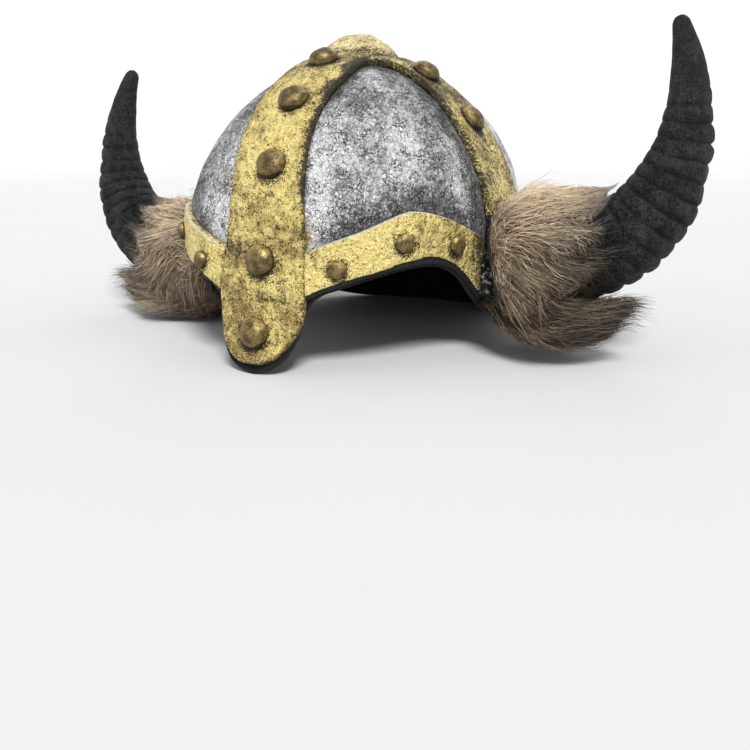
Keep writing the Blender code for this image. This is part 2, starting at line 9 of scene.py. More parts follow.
import bpy
import numpy as np
from mathutils import Matrix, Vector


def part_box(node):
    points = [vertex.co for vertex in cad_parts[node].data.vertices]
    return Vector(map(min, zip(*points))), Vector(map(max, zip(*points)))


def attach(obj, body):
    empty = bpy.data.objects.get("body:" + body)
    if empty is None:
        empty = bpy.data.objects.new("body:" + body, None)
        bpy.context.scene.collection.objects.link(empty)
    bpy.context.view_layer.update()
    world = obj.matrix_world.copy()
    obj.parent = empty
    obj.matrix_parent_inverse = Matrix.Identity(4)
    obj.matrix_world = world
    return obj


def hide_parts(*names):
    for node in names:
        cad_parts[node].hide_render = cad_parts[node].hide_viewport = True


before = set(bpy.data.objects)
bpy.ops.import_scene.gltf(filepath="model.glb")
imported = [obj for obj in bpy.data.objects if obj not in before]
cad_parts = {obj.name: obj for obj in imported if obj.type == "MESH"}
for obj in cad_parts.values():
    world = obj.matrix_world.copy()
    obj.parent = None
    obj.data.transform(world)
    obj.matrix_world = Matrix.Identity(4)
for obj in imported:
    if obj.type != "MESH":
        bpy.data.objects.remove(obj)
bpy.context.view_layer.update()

MM = 0.001

# --- sizes in millimetres, as in the part's source ---

SEAT = 0.5
GAP = 0.35
HALF_WIDTH = 97.5
FRONT_REACH = 119.9
BACK_REACH = 115.7
CROWN_RISE = 100.7
CROWN_SHIFT = -4.6  # of the crown's top towards the back; below 0, it lies in front of the middle
PLAN_POWER = 2.57
RISE_POWER = 1.67
RISE_POWER_BACK = 2.35
ROUND_POWER_SIDE = 1.86
ROUND_POWER_ENDS = 2.05
WALL = 4.0
RIM_ROUND = 1.4
DROP = 75.5
NOSE_FLARE = 16.5
FLARE_COSINES = (0.80, 0.97)
AXIS_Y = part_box("shell")[1].y / MM - BACK_REACH  # the shell's back, less its reach

BAND = 3.0
THIN_BAND = 2.6
EDGE_ROUND = 1.7
BACK_HALF_BAND = 24.0
CROSSING_HALF_BAND = 22.0
SIDE_HALF_BAND = 25.0

# The shell's lower edge: angle from the front in degrees, height
RIM = (
    (0, -75.5),
    (4, -73.2),
    (7.5, -68.3),
    (9.6, -62.4),
    (11, -56.0),
    (12, -49.0),
    (13, -41.0),
    (14.5, -35.8),
    (17, -31.4),
    (21, -28.2),
    (26, -24.7),
    (33, -20.8),
    (40, -17.9),
    (46, -17.2),
    (52, -19.2),
    (57, -23.6),
    (62, -31.0),
    (67, -39.6),
    (72, -46.6),
    (78, -51.2),
    (90, -52.5),
    (103, -52.8),
    (113, -55.0),
    (123, -59.8),
    (133, -66.0),
    (143, -71.6),
    (152, -74.8),
    (160, -75.5),
    (170, -75.5),
    (180, -75.5),
)

# The front band from the nose guard up: height, half-width to the wearer's right and left
FRONT_EDGES = (
    (-70.3, 3.5, 4.5),
    (-69.6, 8.5, 7.5),
    (-67.4, 13.3, 12.0),
    (-63.2, 18.4, 17.6),
    (-57.0, 22.2, 23.0),
    (-49.0, 24.6, 27.0),
    (-41.0, 26.2, 28.6),
    (-33.5, 27.9, 28.3),
    (-25.0, 27.4, 27.6),
    (-15.0, 25.4, 27.2),
    (-2.0, 23.4, 26.9),
    (10.0, 22.0, 26.0),
    (20.0, 22.4, 24.8),
    (39.0, 23.6, 22.0),
    (58.0, 24.4, 19.6),
    (68.0, 24.4, 19.4),
    (78.0, 23.8, 20.4),
    (88.0, 22.6, 21.8),
    (92.0, 22.0, 22.0),
    (102.5, 22.0, 22.0),
)

# A side band from the rim up to the crown: distance out from the middle, half-width
SIDE_EDGES = (
    (22.3, 38.0),
    (24.5, 31.0),
    (28.0, 24.8),
    (32.5, 20.2),
    (38.0, 17.6),
    (46.0, 17.0),
    (58.0, 19.0),
    (75.0, 22.0),
    (97.5, 25.0),
)

# A brow band: angle from the front, heights of its lower and upper edges
BROW = (
    (12.6, -34.0, -7.2),
    (16, -30.2, -4.4),
    (20, -27.2, -1.2),
    (25, -23.6, 2.3),
    (30, -20.6, 6.2),
    (35, -18.0, 10.3),
    (40, -16.2, 13.4),
    (45, -15.5, 12.7),
    (50, -16.7, 10.3),
    (55, -20.0, 6.9),
    (60, -26.2, 3.2),
    (65, -34.2, -0.6),
    (70, -42.0, -4.2),
    (74, -46.8, -7.0),
    (76, -48.2, -8.2),
)

# A rear band: angle from the front, heights of its lower and upper edges
REAR = (
    (104, -51.0, -10.5),
    (107, -51.4, -12.0),
    (115, -54.2, -16.0),
    (124, -58.8, -22.0),
    (133, -64.4, -28.5),
    (142, -69.6, -35.0),
    (151, -73.0, -40.0),
    (160, -74.2, -43.0),
    (168, -74.2, -44.0),
)

# Rivets: half-width of the round head, height of the dome
BIG_RIVET = (9.0, 7.5)
SIDE_RIVET = (8.8, 7.5)
SMALL_RIVET = (5.8, 4.6)
FRONT_RIVETS = ((0.3, -54.0), (1.2, -13.0), (2.8, 36.9), (2.4, 70.3), (0.5, 92.9))  # x, height
SIDE_RIVETS = (86.4, 59.4)  # heights
BROW_RIVETS = ((21.3, -16.3), (38.3, -2.8), (55.4, -6.3))  # angle, height
BACK_RIVETS = (88.0, 62.0, 16.0, -40.0)  # heights
REAR_RIVETS = ((118, -36.5), (135, -47.5), (152, -57.0))  # angle, height
BOSS_RADIUS = 24.0
BOSS_HEIGHT = 10.6
BOSS_POWER = 0.85  # 0.5 would be an ellipse, more is a slacker mound

# A horn: its root, and rows of share of the length, heading above level, radius
HORN_ROOT = (-15.3, -27.5)  # y, z
HORN_LENGTH = 211.0
HORN = (
    (0.0, -3.0, 25.0),
    (0.143, 3.5, 25.0),
    (0.286, 20.0, 24.7),
    (0.429, 46.0, 23.5),
    (0.571, 70.5, 19.5),
    (0.714, 87.0, 13.6),
    (0.857, 100.0, 9.2),
    (1.0, 113.0, 4.2),
)
HORN_YAW = (-3.0, 12.2)
HORN_LIFT = 7.5
LIFT_OVER = 0.2
HORN_RIDGES = 17
RIDGED_SHARE = 0.72
RIDGE_DEPTH = 0.9

# The fur: rows of share of a lock's length, then thickness on top, at the front, below, behind
FUR = (
    (0.0, 9.0, 8.0, 7.0, 8.0),
    (0.12, 11.0, 14.0, 12.0, 13.0),
    (0.35, 17.0, 18.0, 19.0, 17.0),
    (0.6, 13.0, 17.0, 20.0, 16.0),
    (0.82, 7.5, 12.0, 14.0, 11.0),
    (1.0, 1.4, 1.6, 1.6, 1.6),
)
LOCKS = 10
LOCK_REACH = (0.45, 0.31, 0.21, 0.32)  # share of the horn's length, in the same order
LOCK_JAG = 0.055
LOCK_RIDGE = 2.2
FUR_GAP = 1.0
BARE_ROOT = {1: 13.0, -1: 0.0}  # of the horn in front of the fur, on the wearer's left and right

# The tuft under the horn: x, y, z, half-width and half-height of each section
LOWER_TUFT = (
    (106, -20, -47, 20, 6),
    (122, -24, -54, 25, 11),
    (140, -27, -57, 27, 13.5),
    (157, -29, -56, 24, 14),
    (172, -30, -51, 17.5, 12),
    (184, -30, -44, 10, 7.5),
    (192, -29, -39, 4.5, 4),
    (197, -28, -36, 1.2, 1.2),
)
TUFT_SIDES = 14
TUFT_RIDGE = 0.07
HANG_FROM = -62.5
HANG_SHARE = 0.6

# The view: helmet frame angles in degrees, and the camera's place in millimetres
VIEW_AZIMUTH = 27.655
VIEW_ELEVATION = 15.926
VIEW_ROLL = -0.449
VIEW_DISTANCE = 612.87
VIEW_TARGET = (7.182, 0.0, -109.924)
LENS = 41.73  # on a 36 mm sensor


# --- the shell's surface ---


def read_table(rows, at, column=1):
    """A column of a table, read between its rows."""
    table = np.array(rows, float)
    return np.interp(at, table[:, 0], table[:, column])


def read_smooth(rows, at, column=1):
    """A column of a table as a smooth curve through its rows."""
    table = np.array(rows, float)
    x, y = table[:, 0], table[:, column]
    slope = np.gradient(y, x)
    i = np.clip(np.searchsorted(x, at) - 1, 0, len(x) - 2)
    wide = x[i + 1] - x[i]
    t = np.clip((at - x[i]) / wide, 0, 1)
    start = (1 + 2 * t) * (1 - t) ** 2 * y[i] + t * (1 - t) ** 2 * wide * slope[i]
    return start + t * t * (3 - 2 * t) * y[i + 1] + t * t * (t - 1) * wide * slope[i + 1]


def ease(share):
    """0 below 0, 1 above 1, and an even curve between."""
    share = np.clip(share, 0, 1)
    return share * share * (3 - 2 * share)


def ramp(value, start, end):
    """0 up to start and 1 from end, with an even curve between. end may be the lower one."""
    return ease((value - start) / (end - start))


def bell(value, middle, width):
    """1 at the middle, falling to 0 on both sides."""
    return np.exp(-(((value - middle) / width) ** 2))


def flare(angle, height):
    """How far the wall below the widest level stands forward, near the nose guard."""
    share = ramp(np.cos(angle), *FLARE_COSINES)
    return NOSE_FLARE * np.clip(-height / DROP, 0, None) ** 2 * share


def shell_level(points):
    """Below 0 inside the shell's outer surface and above 0 outside it."""
    x, y, z = np.moveaxis(points, -1, 0)
    rise = np.clip(z / CROWN_RISE, 0, None)
    y = y - CROWN_SHIFT * rise**2
    angle = np.arctan2(x, -y)
    cosine = np.cos(angle)
    reach = np.where(cosine > 0, FRONT_REACH, BACK_REACH)
    plan = np.abs(np.sin(angle) / HALF_WIDTH) ** PLAN_POWER + np.abs(cosine / reach) ** PLAN_POWER
    out = np.clip((np.hypot(x, y) - flare(angle, z)) * plan ** (1 / PLAN_POWER), 0, None)
    behind = np.where(cosine < 0, cosine**2, 0)
    rise_power = RISE_POWER + (RISE_POWER_BACK - RISE_POWER) * behind
    round_power = ROUND_POWER_SIDE + (ROUND_POWER_ENDS - ROUND_POWER_SIDE) * cosine**2
    return out**round_power + rise**rise_power - 1


def normals(points, step=0.05):
    """The shell's outward direction at points on it."""
    slopes = [shell_level(points + d) - shell_level(points - d) for d in step * np.eye(3)]
    found = np.stack(slopes, -1)
    return found / np.linalg.norm(found, axis=-1, keepdims=True)


def stack(x, y, z):
    return np.stack(np.broadcast_arrays(x, y, z), -1).astype(float)


def cast(origins, directions):
    """Where rays from inside the shell meet its outer surface."""
    origins, directions = np.broadcast_arrays(np.array(origins, float), np.array(directions, float))
    low = np.zeros(origins.shape[:-1])
    high = np.full_like(low, 200.0)
    for _ in range(30):
        middle = (low + high) / 2
        inside = shell_level(origins + directions * middle[..., None]) < 0
        low = np.where(inside, middle, low)
        high = np.where(inside, high, middle)
    return origins + directions * low[..., None]


def lifted(points, offset):
    """Points on the shell, moved out along its normals."""
    return points + normals(points) * np.asarray(offset)[..., None]


def at_angle(degrees, height):
    """Points on the shell at an angle from the front and a height."""
    angle = np.radians(degrees)
    rise = np.clip(height / CROWN_RISE, 0, None)
    origins = stack(0.0, CROWN_SHIFT * rise**2, height)
    return cast(origins, stack(np.sin(angle), -np.cos(angle), 0.0))


def on_front(x, height, toward=-1.0):
    """Points on the shell at x and a height, in front, or behind if toward is 1."""
    return cast(stack(x, 0.0, height), stack(0.0, toward, 0.0))


def over_crown(x, elevation):
    """Points on the shell at x and at an elevation in degrees from the front, over the crown."""
    angle = np.radians(elevation)
    return cast(stack(x, 0.0, 0.0), stack(0.0, -np.cos(angle), np.sin(angle)))


def on_crown(x, y):
    """Points on the upper shell at x and y."""
    return cast(stack(x, y, 0.0), stack(0.0, 0.0, 1.0))


def edge_angles(points):
    """Angles from the front, in degrees."""
    return np.degrees(np.arctan2(points[..., 0], -points[..., 1]))


def to_world(points):
    return (np.asarray(points, float) + (0, AXIS_Y, DROP)) * MM


def mirrored(points, side):
    """The points as they are on the wearer's left, side 1, or mirrored for the right, side -1."""
    return points * (side, 1, 1)


# --- noise ---


def cell_value(cell, seed):
    """A repeatable number from 0 to 1 for each cell of a lattice."""
    mixed = cell[..., 0] * 73856093 ^ cell[..., 1] * 19349663 ^ cell[..., 2] * 83492791
    mixed = (mixed ^ seed * 2654435761) & 0xFFFFFFFF
    mixed = ((mixed ^ mixed >> 15) * 2246822519) & 0xFFFFFFFF
    mixed = ((mixed ^ mixed >> 13) * 3266489917) & 0xFFFFFFFF
    return (mixed ^ mixed >> 16) / 0xFFFFFFFF


def noise(points, size, seed=0):
    """Smooth noise from -1 to 1 whose bumps lie about size millimetres apart."""
    at = np.asarray(points, float) / size
    cell = np.floor(at).astype(np.int64)
    share = ease(at - cell)
    total = 0.0
    for corner in itertools.product((0, 1), repeat=3):
        weight = np.prod(np.where(corner, share, 1 - share), axis=-1)
        total = total + weight * cell_value(cell + np.array(corner), seed)
    return total * 2 - 1


# --- meshes ---


def add_mesh(name, points, faces, paints=None):
    """A smooth-shaded object from millimetre points and a list of face arrays. paints maps the
    name of an attribute to its value at each point."""
    mesh = bpy.data.meshes.new(name)
    sizes = np.concatenate([np.full(len(f), f.shape[1]) for f in faces])
    corners = np.concatenate([f.ravel() for f in faces])
    mesh.vertices.add(len(points))
    mesh.vertices.foreach_set("co", to_world(points).ravel())
    mesh.loops.add(len(corners))
    mesh.loops.foreach_set("vertex_index", corners.astype(np.int32))
    mesh.polygons.add(len(sizes))
    mesh.polygons.foreach_set("loop_start", (np.cumsum(sizes) - sizes).astype(np.int32))
    mesh.update(calc_edges=True)
    mesh.validate()
    for paint, values in (paints or {}).items():
        layer = mesh.attributes.new(paint, "FLOAT", "POINT")
        layer.data.foreach_set("value", np.asarray(values, np.float32).ravel())
    mesh.shade_smooth()
    made = bpy.data.objects.new(name, mesh)
    bpy.context.scene.collection.objects.link(made)
    return made


def fit_out(made, material, slot, *nodes):
    """Gives the piece its material and its place in the frame, for the CAD nodes named."""
    made.data.materials.append(material)
    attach(made, "root")
    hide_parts(*nodes)
    return made


def outward(points, faces):
    """The faces of a closed skin, turned so that they look out."""
    volume = 0.0
    for group in faces:
        corners = points[group]
        for k in range(1, group.shape[1] - 1):
            volume += (corners[:, 0] * np.cross(corners[:, k], corners[:, k + 1])).sum()
    return faces if volume > 0 else [group[:, ::-1] for group in faces]


def grid_quads(rows, columns, wrap=False):
    """Quads over a grid of points stored row by row."""
    r, c = np.meshgrid(range(rows - 1), range(columns if wrap else columns - 1), indexing="ij")
    low, high, after = r * columns, (r + 1) * columns, (c + 1) % columns
    return np.stack([low + c, low + after, high + after, high + c], -1).reshape(-1, 4)


def closed_loft(name, rings, first, last, paints=None):
    """A closed skin through rings of equal size, with a point to close each end."""
    count, sides = rings.shape[:2]
    points = np.concatenate([rings.reshape(-1, 3), [first, last]])
    c = np.arange(sides)
    after = (c + 1) % sides
    top = (count - 1) * sides
    fans = [
        np.stack([after, c, np.full(sides, count * sides)], -1),
        np.stack([top + c, top + after, np.full(sides, count * sides + 1)], -1),
    ]
    return add_mesh(name, points, outward(points, [grid_quads(count, sides, wrap=True), *fans]), paints)


def closed_tube(name, rings, paints=None):
    """A closed ring-shaped skin: the last ring joins the first."""
    count, sides = rings.shape[:2]
    c = np.arange(sides)
    after = (c + 1) % sides
    top = (count - 1) * sides
    points = rings.reshape(-1, 3)
    faces = [grid_quads(count, sides, wrap=True), np.stack([top + c, top + after, after, c], -1)]
    return add_mesh(name, points, outward(points, faces), paints)


def every_few(count, step):
    """Every step-th number from 0, and the last below count."""
    return np.unique(np.append(np.arange(0, count - 1, step), count - 1))


def slab(name, outer, inner, paints):
    """A closed plate from the grid of its outer face and that of its underside, of which every
    fourth row and column is kept."""
    rows, columns = outer.shape[:2]
    size = rows * columns
    kept_rows, kept_columns = every_few(rows, 4), every_few(columns, 4)
    under = inner[np.ix_(kept_rows, kept_columns)]
    low = np.arange(under.shape[0] * under.shape[1]).reshape(under.shape[:2]) + size
    top = np.arange(size).reshape(rows, columns)
    sides = [(top[0], low[0], kept_columns), (top[:, -1], low[:, -1], kept_rows)]
    sides += [(top[-1, ::-1], low[-1, ::-1], columns - 1 - kept_columns[::-1])]
    sides += [(top[::-1, 0], low[::-1, 0], rows - 1 - kept_rows[::-1])]
    faces = [grid_quads(rows, columns), grid_quads(*under.shape[:2])[:, ::-1] + size]
    for fine, coarse, kept in sides:
        for k, (start, end) in enumerate(zip(kept, kept[1:])):
            faces.append(np.array([[*fine[start : end + 1][::-1], coarse[k], coarse[k + 1]]]))
    points = np.concatenate([outer.reshape(-1, 3), under.reshape(-1, 3)])
    kept = np.ix_(kept_rows, kept_columns)
    paints = {key: np.append(values, values[kept]) for key, values in paints.items()}
    return add_mesh(name, points, outward(points, faces), paints)


# --- rivets' places ---

SIDES = (("left", 1), ("right", -1))  # of the wearer


def rivet_places():
    """Each rivet's name, seat on the shell, the band's thickness there and its size."""
    places = []
    for i, (x, height) in enumerate(FRONT_RIVETS, 1):
        seat = on_front(x, height) if height < 0 else at_angle(np.degrees(np.arcsin(x / 100)), height)
        places.append((f"front_rivet_{i}", seat, BAND, BIG_RIVET))
    for i, height in enumerate(BACK_RIVETS, 1):
        places.append((f"back_rivet_{i}", at_angle(180.0, height), BAND, BIG_RIVET))
    for word, side in SIDES:
        for i, height in enumerate(SIDE_RIVETS, 1):
            places.append((f"side_rivet_{word}_{i}", at_angle(90.0 * side, height), BAND, SIDE_RIVET))
        for kind, rows in (("brow", BROW_RIVETS), ("rear", REAR_RIVETS)):
            for i, (angle, height) in enumerate(rows, 1):
                seat = at_angle(angle * side, height)
                places.append((f"{kind}_rivet_{word}_{i}", seat, THIN_BAND, SMALL_RIVET))
    return places


RIVETS = rivet_places()
FOOT_STAIN = 3.0  # how far the dark wash round a rivet spreads
STAIN_DROP = 1.1  # and how far it has run down


def foot_stain(points):
    """1 beside a rivet and 0 away from all of them."""
    found = np.zeros(points.shape[:-1])
    for _, seat, _, (radius, _) in RIVETS:
        away = np.linalg.norm(points - seat + (0, 0, STAIN_DROP), axis=-1) - radius
        found = np.maximum(found, ramp(away, FOOT_STAIN, 0))
    return found


# --- shell ---

SHELL_COLUMNS = 360
OUTSIDE_ROWS = (34, 84)  # of points below the widest level and above it
INSIDE_ROWS = (12, 20)
LAST_CLIMB = 88.0  # degrees above level of the last row, next to the crown's top
BROW_START = 13  # degrees from the front, where the brow band begins
BROW_END = 75  # and where the side band begins
REAR_START = 105  # and where it ends
NO_BAND = 99.0  # a distance that stands for no band on this side
SIDE_BLACK = -50.5  # height below which the shell is black beside the side band
NOSE_BLACK = -9.0  # and behind the nose guard


def band_gap(points):
    """How far a point of the shell lies outside the nearest band, in mm, and inside below 0."""
    x, y, z = np.moveaxis(points, -1, 0)
    right, left = (read_smooth(FRONT_EDGES, z, k) for k in (1, 2))
    front = np.where(y < 0, np.abs(x) - np.where(x > 0, left, right), NO_BAND)
    front = np.maximum(front, FRONT_EDGES[0][0] - z)
    half = np.interp(z, (0, 60), (BACK_HALF_BAND, CROSSING_HALF_BAND))
    back = np.where(y > 0, np.abs(x) - half, NO_BAND)
    sides = np.abs(y) - read_smooth(SIDE_EDGES, np.abs(x))
    angle = np.degrees(np.arctan2(np.abs(x), -y))
    brow = np.maximum(z - read_smooth(BROW, angle, 2), read_smooth(BROW, angle, 1) - z)
    rear = np.maximum(z - read_smooth(REAR, angle, 2), read_smooth(REAR, angle, 1) - z)
    brow = np.where(angle < BROW_END, brow, NO_BAND)
    rear = np.where(angle > REAR_START, rear, NO_BAND)
    return np.minimum.reduce([front, back, sides, brow, rear])


def below_bands(points):
    """1 where the shell shows below the bands, which is black, and 0 above."""
    angle = np.abs(edge_angles(points))
    low = np.where(angle < REAR_START, SIDE_BLACK, read_smooth(REAR, angle, 1))
    low = np.where(angle < BROW_END, read_smooth(BROW, angle, 1), low)
    low = np.where(angle < BROW_START, NOSE_BLACK, low)
    return ramp(points[..., 2] - low, 1.5, 0)


def spilt_gold(points):
    """1 on the strip of silver beside the front band where gold paint has spilt over."""
    x, y, z = np.moveaxis(points, -1, 0)
    beyond = x - read_smooth(FRONT_EDGES, z, 2)
    strip = ramp(beyond + 0.3 * np.clip(z, 0, None), 5.5, 4) * (beyond > -1) * (y < 0)
    return strip * ramp(z, -6, -2) * ramp(z, 16, 6)


def wall_rows(degrees, rim, below, above):
    """Rows of points on the shell: below of them from the rim up to the widest level, and above
    of them from there nearly to the crown's top."""
    shares = np.linspace(1, 0, below, endpoint=False)
    climb = CROWN_RISE * np.sin(np.radians(np.linspace(0, LAST_CLIMB, above)))
    rows = [at_angle(degrees, (rim + RIM_ROUND) * share) for share in shares]
    return np.array(rows + [at_angle(degrees, np.full_like(rim, height)) for height in climb])


def lip_rows(degrees, rim):
    """Rows round the rim's rounded edge, from the outside to the inside."""
    turned = np.radians((30, 60, 90))
    depths, rises = RIM_ROUND * (1 - np.cos(turned)), RIM_ROUND * (1 - np.sin(turned))
    rows = []
    for depth, up in [*zip(depths, rises), *zip(WALL - depths[::-1], rises[::-1])]:
        row = lifted(at_angle(degrees, rim + up), -depth)
        row[:, 2] = rim + up
        rows.append(row)
    return rows


def shell_grime_and_painted_light(points):
    """How much of the black shows through the silver, with painted light in it: most beside the side
    bands, above the brows and towards the crown, and in a smear by the top of the front band; least
    beside the front band, where a painted highlight lightens it; and more over the wearer's right half,
    painted shade."""
    x, y, z = np.moveaxis(points, -1, 0)
    angle = np.abs(edge_angles(points))
    beside = ramp(np.abs(y) - read_smooth(SIDE_EDGES, np.abs(x)), 26, 0)
    above_brow = z - read_smooth(BROW, angle, 2)
    low = ramp(above_brow, 18, 2) * ramp(angle, 14, 28)
    beyond = np.abs(x) - read_smooth(FRONT_EDGES, z, 2)
    # painted highlight: lighter beside the front band
    lit = bell(beyond, 6, 12) * (y < 0) * ramp(z, 72, 52) * (1 - low)
    smear = ramp(beyond, 10, 1) * (y < 0) * (x > 0) * ramp(z, 56, 74)
    grime_and_painted_light = np.maximum.reduce([0.4 * ramp(z, 58, 86), 1.15 * beside, 0.95 * low])
    # the 0.35 over the wearer's right half is painted shade; smear is a dark smear of paint
    return grime_and_painted_light - 0.5 * lit + 0.35 * (x < 0) + 0.5 * smear


def with_ends(values, first, last):
    """A value for each point of a closed loft, with those of its two end points."""
    return np.append(values.ravel(), (first, last))


def make_shell(material):
    """The dome with its dented outside, its rounded rim and its dark inside."""
    degrees = np.linspace(0, 360, SHELL_COLUMNS, endpoint=False)
    rim = np.maximum(read_smooth(RIM, np.minimum(degrees, 360 - degrees)), -DROP)
    outside = wall_rows(degrees, rim, *OUTSIDE_ROWS)
    gap = band_gap(outside)
    dents = 0.55 * noise(outside, 22, 1) + 0.3 * noise(outside, 9, 2) + 0.16 * noise(outside, 4, 3)
    fade = ramp(outside[..., 2] - rim, 0, 4)
    worn = lifted(outside, (dents - 0.45) * fade - 0.5 * ramp(gap, 2.5, 0) * fade)
    inside = wall_rows(degrees, rim, *INSIDE_ROWS)
    thick = WALL + 0.4 * noise(inside, 12, 4) * ramp(inside[..., 2] - rim, 0, 4)
    inside = lifted(inside, -thick)
    low_rows = inside[: INSIDE_ROWS[0], :, 2]
    low_rows[:] = np.maximum(low_rows, rim + RIM_ROUND)
    lip = lip_rows(degrees, rim)
    rings = np.concatenate([worn[::-1], lip, inside])
    within = np.zeros(rings.shape[:2])
    within[len(worn) + len(lip) // 2 :] = 1
    gap = np.concatenate([gap[::-1], np.zeros((len(lip) + len(inside), len(degrees)))])
    paints = {
        "inside": with_ends(within, 0, 1),
        "groove": with_ends(ramp(gap, 2.6, -0.4), 1, 1),
        "grime_and_painted_light": with_ends(shell_grime_and_painted_light(rings), 1, 1),
        "rim": with_ends(below_bands(rings), 0, 0),
        "gilt": with_ends(spilt_gold(rings), 0, 0),
    }
    top = on_crown(0.0, CROWN_SHIFT)
    made = closed_loft("dome", rings, top, top - (0, 0, WALL), paints)
    return fit_out(made, material, "silver_paint", "shell")


# --- bands ---

MESH_STEP = 1.2  # between the points of a fine surface
SUNK = -1.0  # the underside lies just inside the dented shell, so no slit shows
BAND_DENTS = ((11, 0.34), (5, 0.2), (2.8, 0.1))  # size, depth
FRONT_CLIMB, SIDE_CLIMB, BACK_CLIMB = 0.62, 0.66, 0.68  # degrees between rows over the crown


def across_band(low, high):
    """For each station, places from low to high, closer together over the rounded edges, and
    how far each is from the nearer edge."""
    width = (high - low)[:, None]
    near = EDGE_ROUND * np.array((0, 0.1, 0.32, 0.64))
    inner = max(6, int(np.median(width) / MESH_STEP))
    middle = EDGE_ROUND + (width - 2 * EDGE_ROUND) * np.linspace(0, 1, inner)
    left = np.broadcast_to(near, (len(width), 4))
    places = np.concatenate([left, middle, width - left[:, ::-1]], axis=1)
    return low[:, None] + places, np.minimum(places, width - places)


def smooth_path(rows, step=MESH_STEP):
    """A table's rows as one smooth curve through them, with points about a step apart."""
    table = np.array(rows, float)
    lengths = np.linalg.norm(np.diff(table, axis=0), axis=1)
    along = np.concatenate([[0], np.cumsum(lengths)])
    at = np.linspace(0, along[-1], int(along[-1] / step) + 1)
    columns = [read_smooth(np.column_stack([along, column]), at) for column in table.T]
    return np.stack(columns, -1)


def lengths_from_start(points):
    """How far each row of a grid lies from the first, along the middle column."""
    middle = points[:, points.shape[1] // 2]
    return np.concatenate([[0], np.cumsum(np.linalg.norm(np.diff(middle, axis=0), axis=1))])


def make_band(name, node, on_shell, edge, side, thick, material, seed, extra=None, free_start=True):
    """A band from the points of the shell under it, and how far each is from its edges."""
    if free_start:
        edge = np.minimum(edge, lengths_from_start(on_shell)[:, None] + 0.02)
    round_share = np.sqrt(1 - (1 - np.clip(edge / EDGE_ROUND, 0, 1)) ** 2)
    dents = sum(depth * noise(on_shell, size, seed + k) for k, (size, depth) in enumerate(BAND_DENTS))
    height = thick * (0.1 + 0.9 * round_share) + dents * round_share + 0.35 * ramp(edge, 0, 12)
    paints = {"edge": ramp(edge, 2.2, 0)}
    if extra:
        raised, more = extra(on_shell, edge)
        height = height + raised * round_share
        paints.update(more)
    places = mirrored(on_shell, side)
    paints["foot"] = foot_stain(places)
    outer = mirrored(lifted(on_shell, SEAT + height), side)
    inner = mirrored(lifted(on_shell, SUNK), side)
    made = slab(name, outer, inner, paints)
    return fit_out(made, material, "gold_paint", node)


# Creases pressed across the front band: height, from x, to x, depth
CREASES = (
    (-35.0, -2.0, 22.0, 0.8),
    (-25.0, -8.0, 18.0, 0.5),
    (20.0, -14.0, 10.0, 0.45),
    (31.0, -16.0, 2.0, 0.35),
)
STEP_HEIGHT = -12.5  # the nose guard laps over the band above, on the wearer's right
ARC_RADIUS = 12.5  # of the pressed line round the rivet there


def front_relief(points, edge):
    """The lap of the nose guard, the pressed lines, where the gold is thin, and painted light: lighter
    up the middle of the band and darker towards the nose.
    """
    x, z = points[..., 0], points[..., 2]
    bend = noise(points, 9, 31)
    raised = np.zeros_like(z)
    for height, start, end, depth in CREASES:
        across = ramp(x, start, start + 4) * ramp(x, end, end - 4)
        raised -= depth * across * bell(z + 1.6 * bend, height, 1.1)
    crease = np.clip(-2 * raised, 0, 1)
    lap = ramp(z - STEP_HEIGHT - 0.5 * bend, 0, -0.8) * ramp(z, -34, -20) * ramp(x, 4, -8)
    rivet_x, rivet_z = FRONT_RIVETS[1]
    away = np.hypot(x - rivet_x, z - rivet_z)
    arc = bell(away, ARC_RADIUS, 1.2) * ramp(z - rivet_z, 2, 7)
    above = ramp(z - STEP_HEIGHT, 0, 1) * ramp(z, 8, -4) * ramp(x, -9, -14)
    right_edge = ramp(edge, 4.5, 0) * (x > 0) * ramp(z, 14, 24)
    crown = ramp(z, 78, 92)
    smear = ramp(edge - 6 * bend, 10, 2) * (x > 0) * ramp(z, 56, 78)
    worn = np.maximum.reduce([0.55 * above, 0.9 * right_edge, 0.45 * crown, 1.35 * smear])
    # painted highlight up the middle of the band, and painted shade towards the nose
    painted_light = ramp(z, 18, 43) * ramp(np.abs(x + 2), 22, 0) * (1 - crown)
    painted_light = painted_light - 0.5 * ramp(z, -18, -34)
    return raised + 0.9 * lap + 0.55 * arc, {"crease": crease, "worn": worn, "painted_light": painted_light}


def climbing_grid(heights, elevation, right, left, toward):
    """Points of the shell under a band that climbs the wall at the heights and then goes over
    the crown, and how far each is from its edges."""
    across, edge = across_band(-right, left)
    wall, crown = across[: len(heights)], across[len(heights) :]
    rows = [on_front(wall, heights[:, None], toward), over_crown(crown, elevation[:, None])]
    return np.concatenate(rows), edge


def make_front_band(material):
    """The front band, whose lower end is the nose guard."""
    low_rows = [row for row in FRONT_EDGES if row[0] < 0]
    low_rows.append((0.0, read_smooth(FRONT_EDGES, 0.0, 1), read_smooth(FRONT_EDGES, 0.0, 2)))
    low = smooth_path(low_rows, 1.1)[:-1]
    elevation = np.arange(0.0, 90.0, FRONT_CLIMB)
    middle = over_crown(0.0, elevation)[:, 2]
    right, left = (np.concatenate([low[:, k], read_smooth(FRONT_EDGES, middle, k)]) for k in (1, 2))
    on_shell, edge = climbing_grid(low[:, 0], elevation, right, left, -1.0)
    return make_band("front_strip", "front_band", on_shell, edge, 1, BAND, material, 50, front_relief)


def make_back_band(material):
    """The back band, from the rim up to the crown."""
    low = np.arange(-(DROP - 1.3), -1.0, MESH_STEP)
    elevation = np.arange(180.0, 90.0, -BACK_CLIMB)
    middle = np.concatenate([low, over_crown(0.0, elevation)[:, 2]])
    half = np.interp(middle, (0, 60), (BACK_HALF_BAND, CROSSING_HALF_BAND))
    on_shell, edge = climbing_grid(low, elevation, half, half, 1.0)
    return make_band("back_strip", "back_band", on_shell, edge, 1, BAND, material, 60)


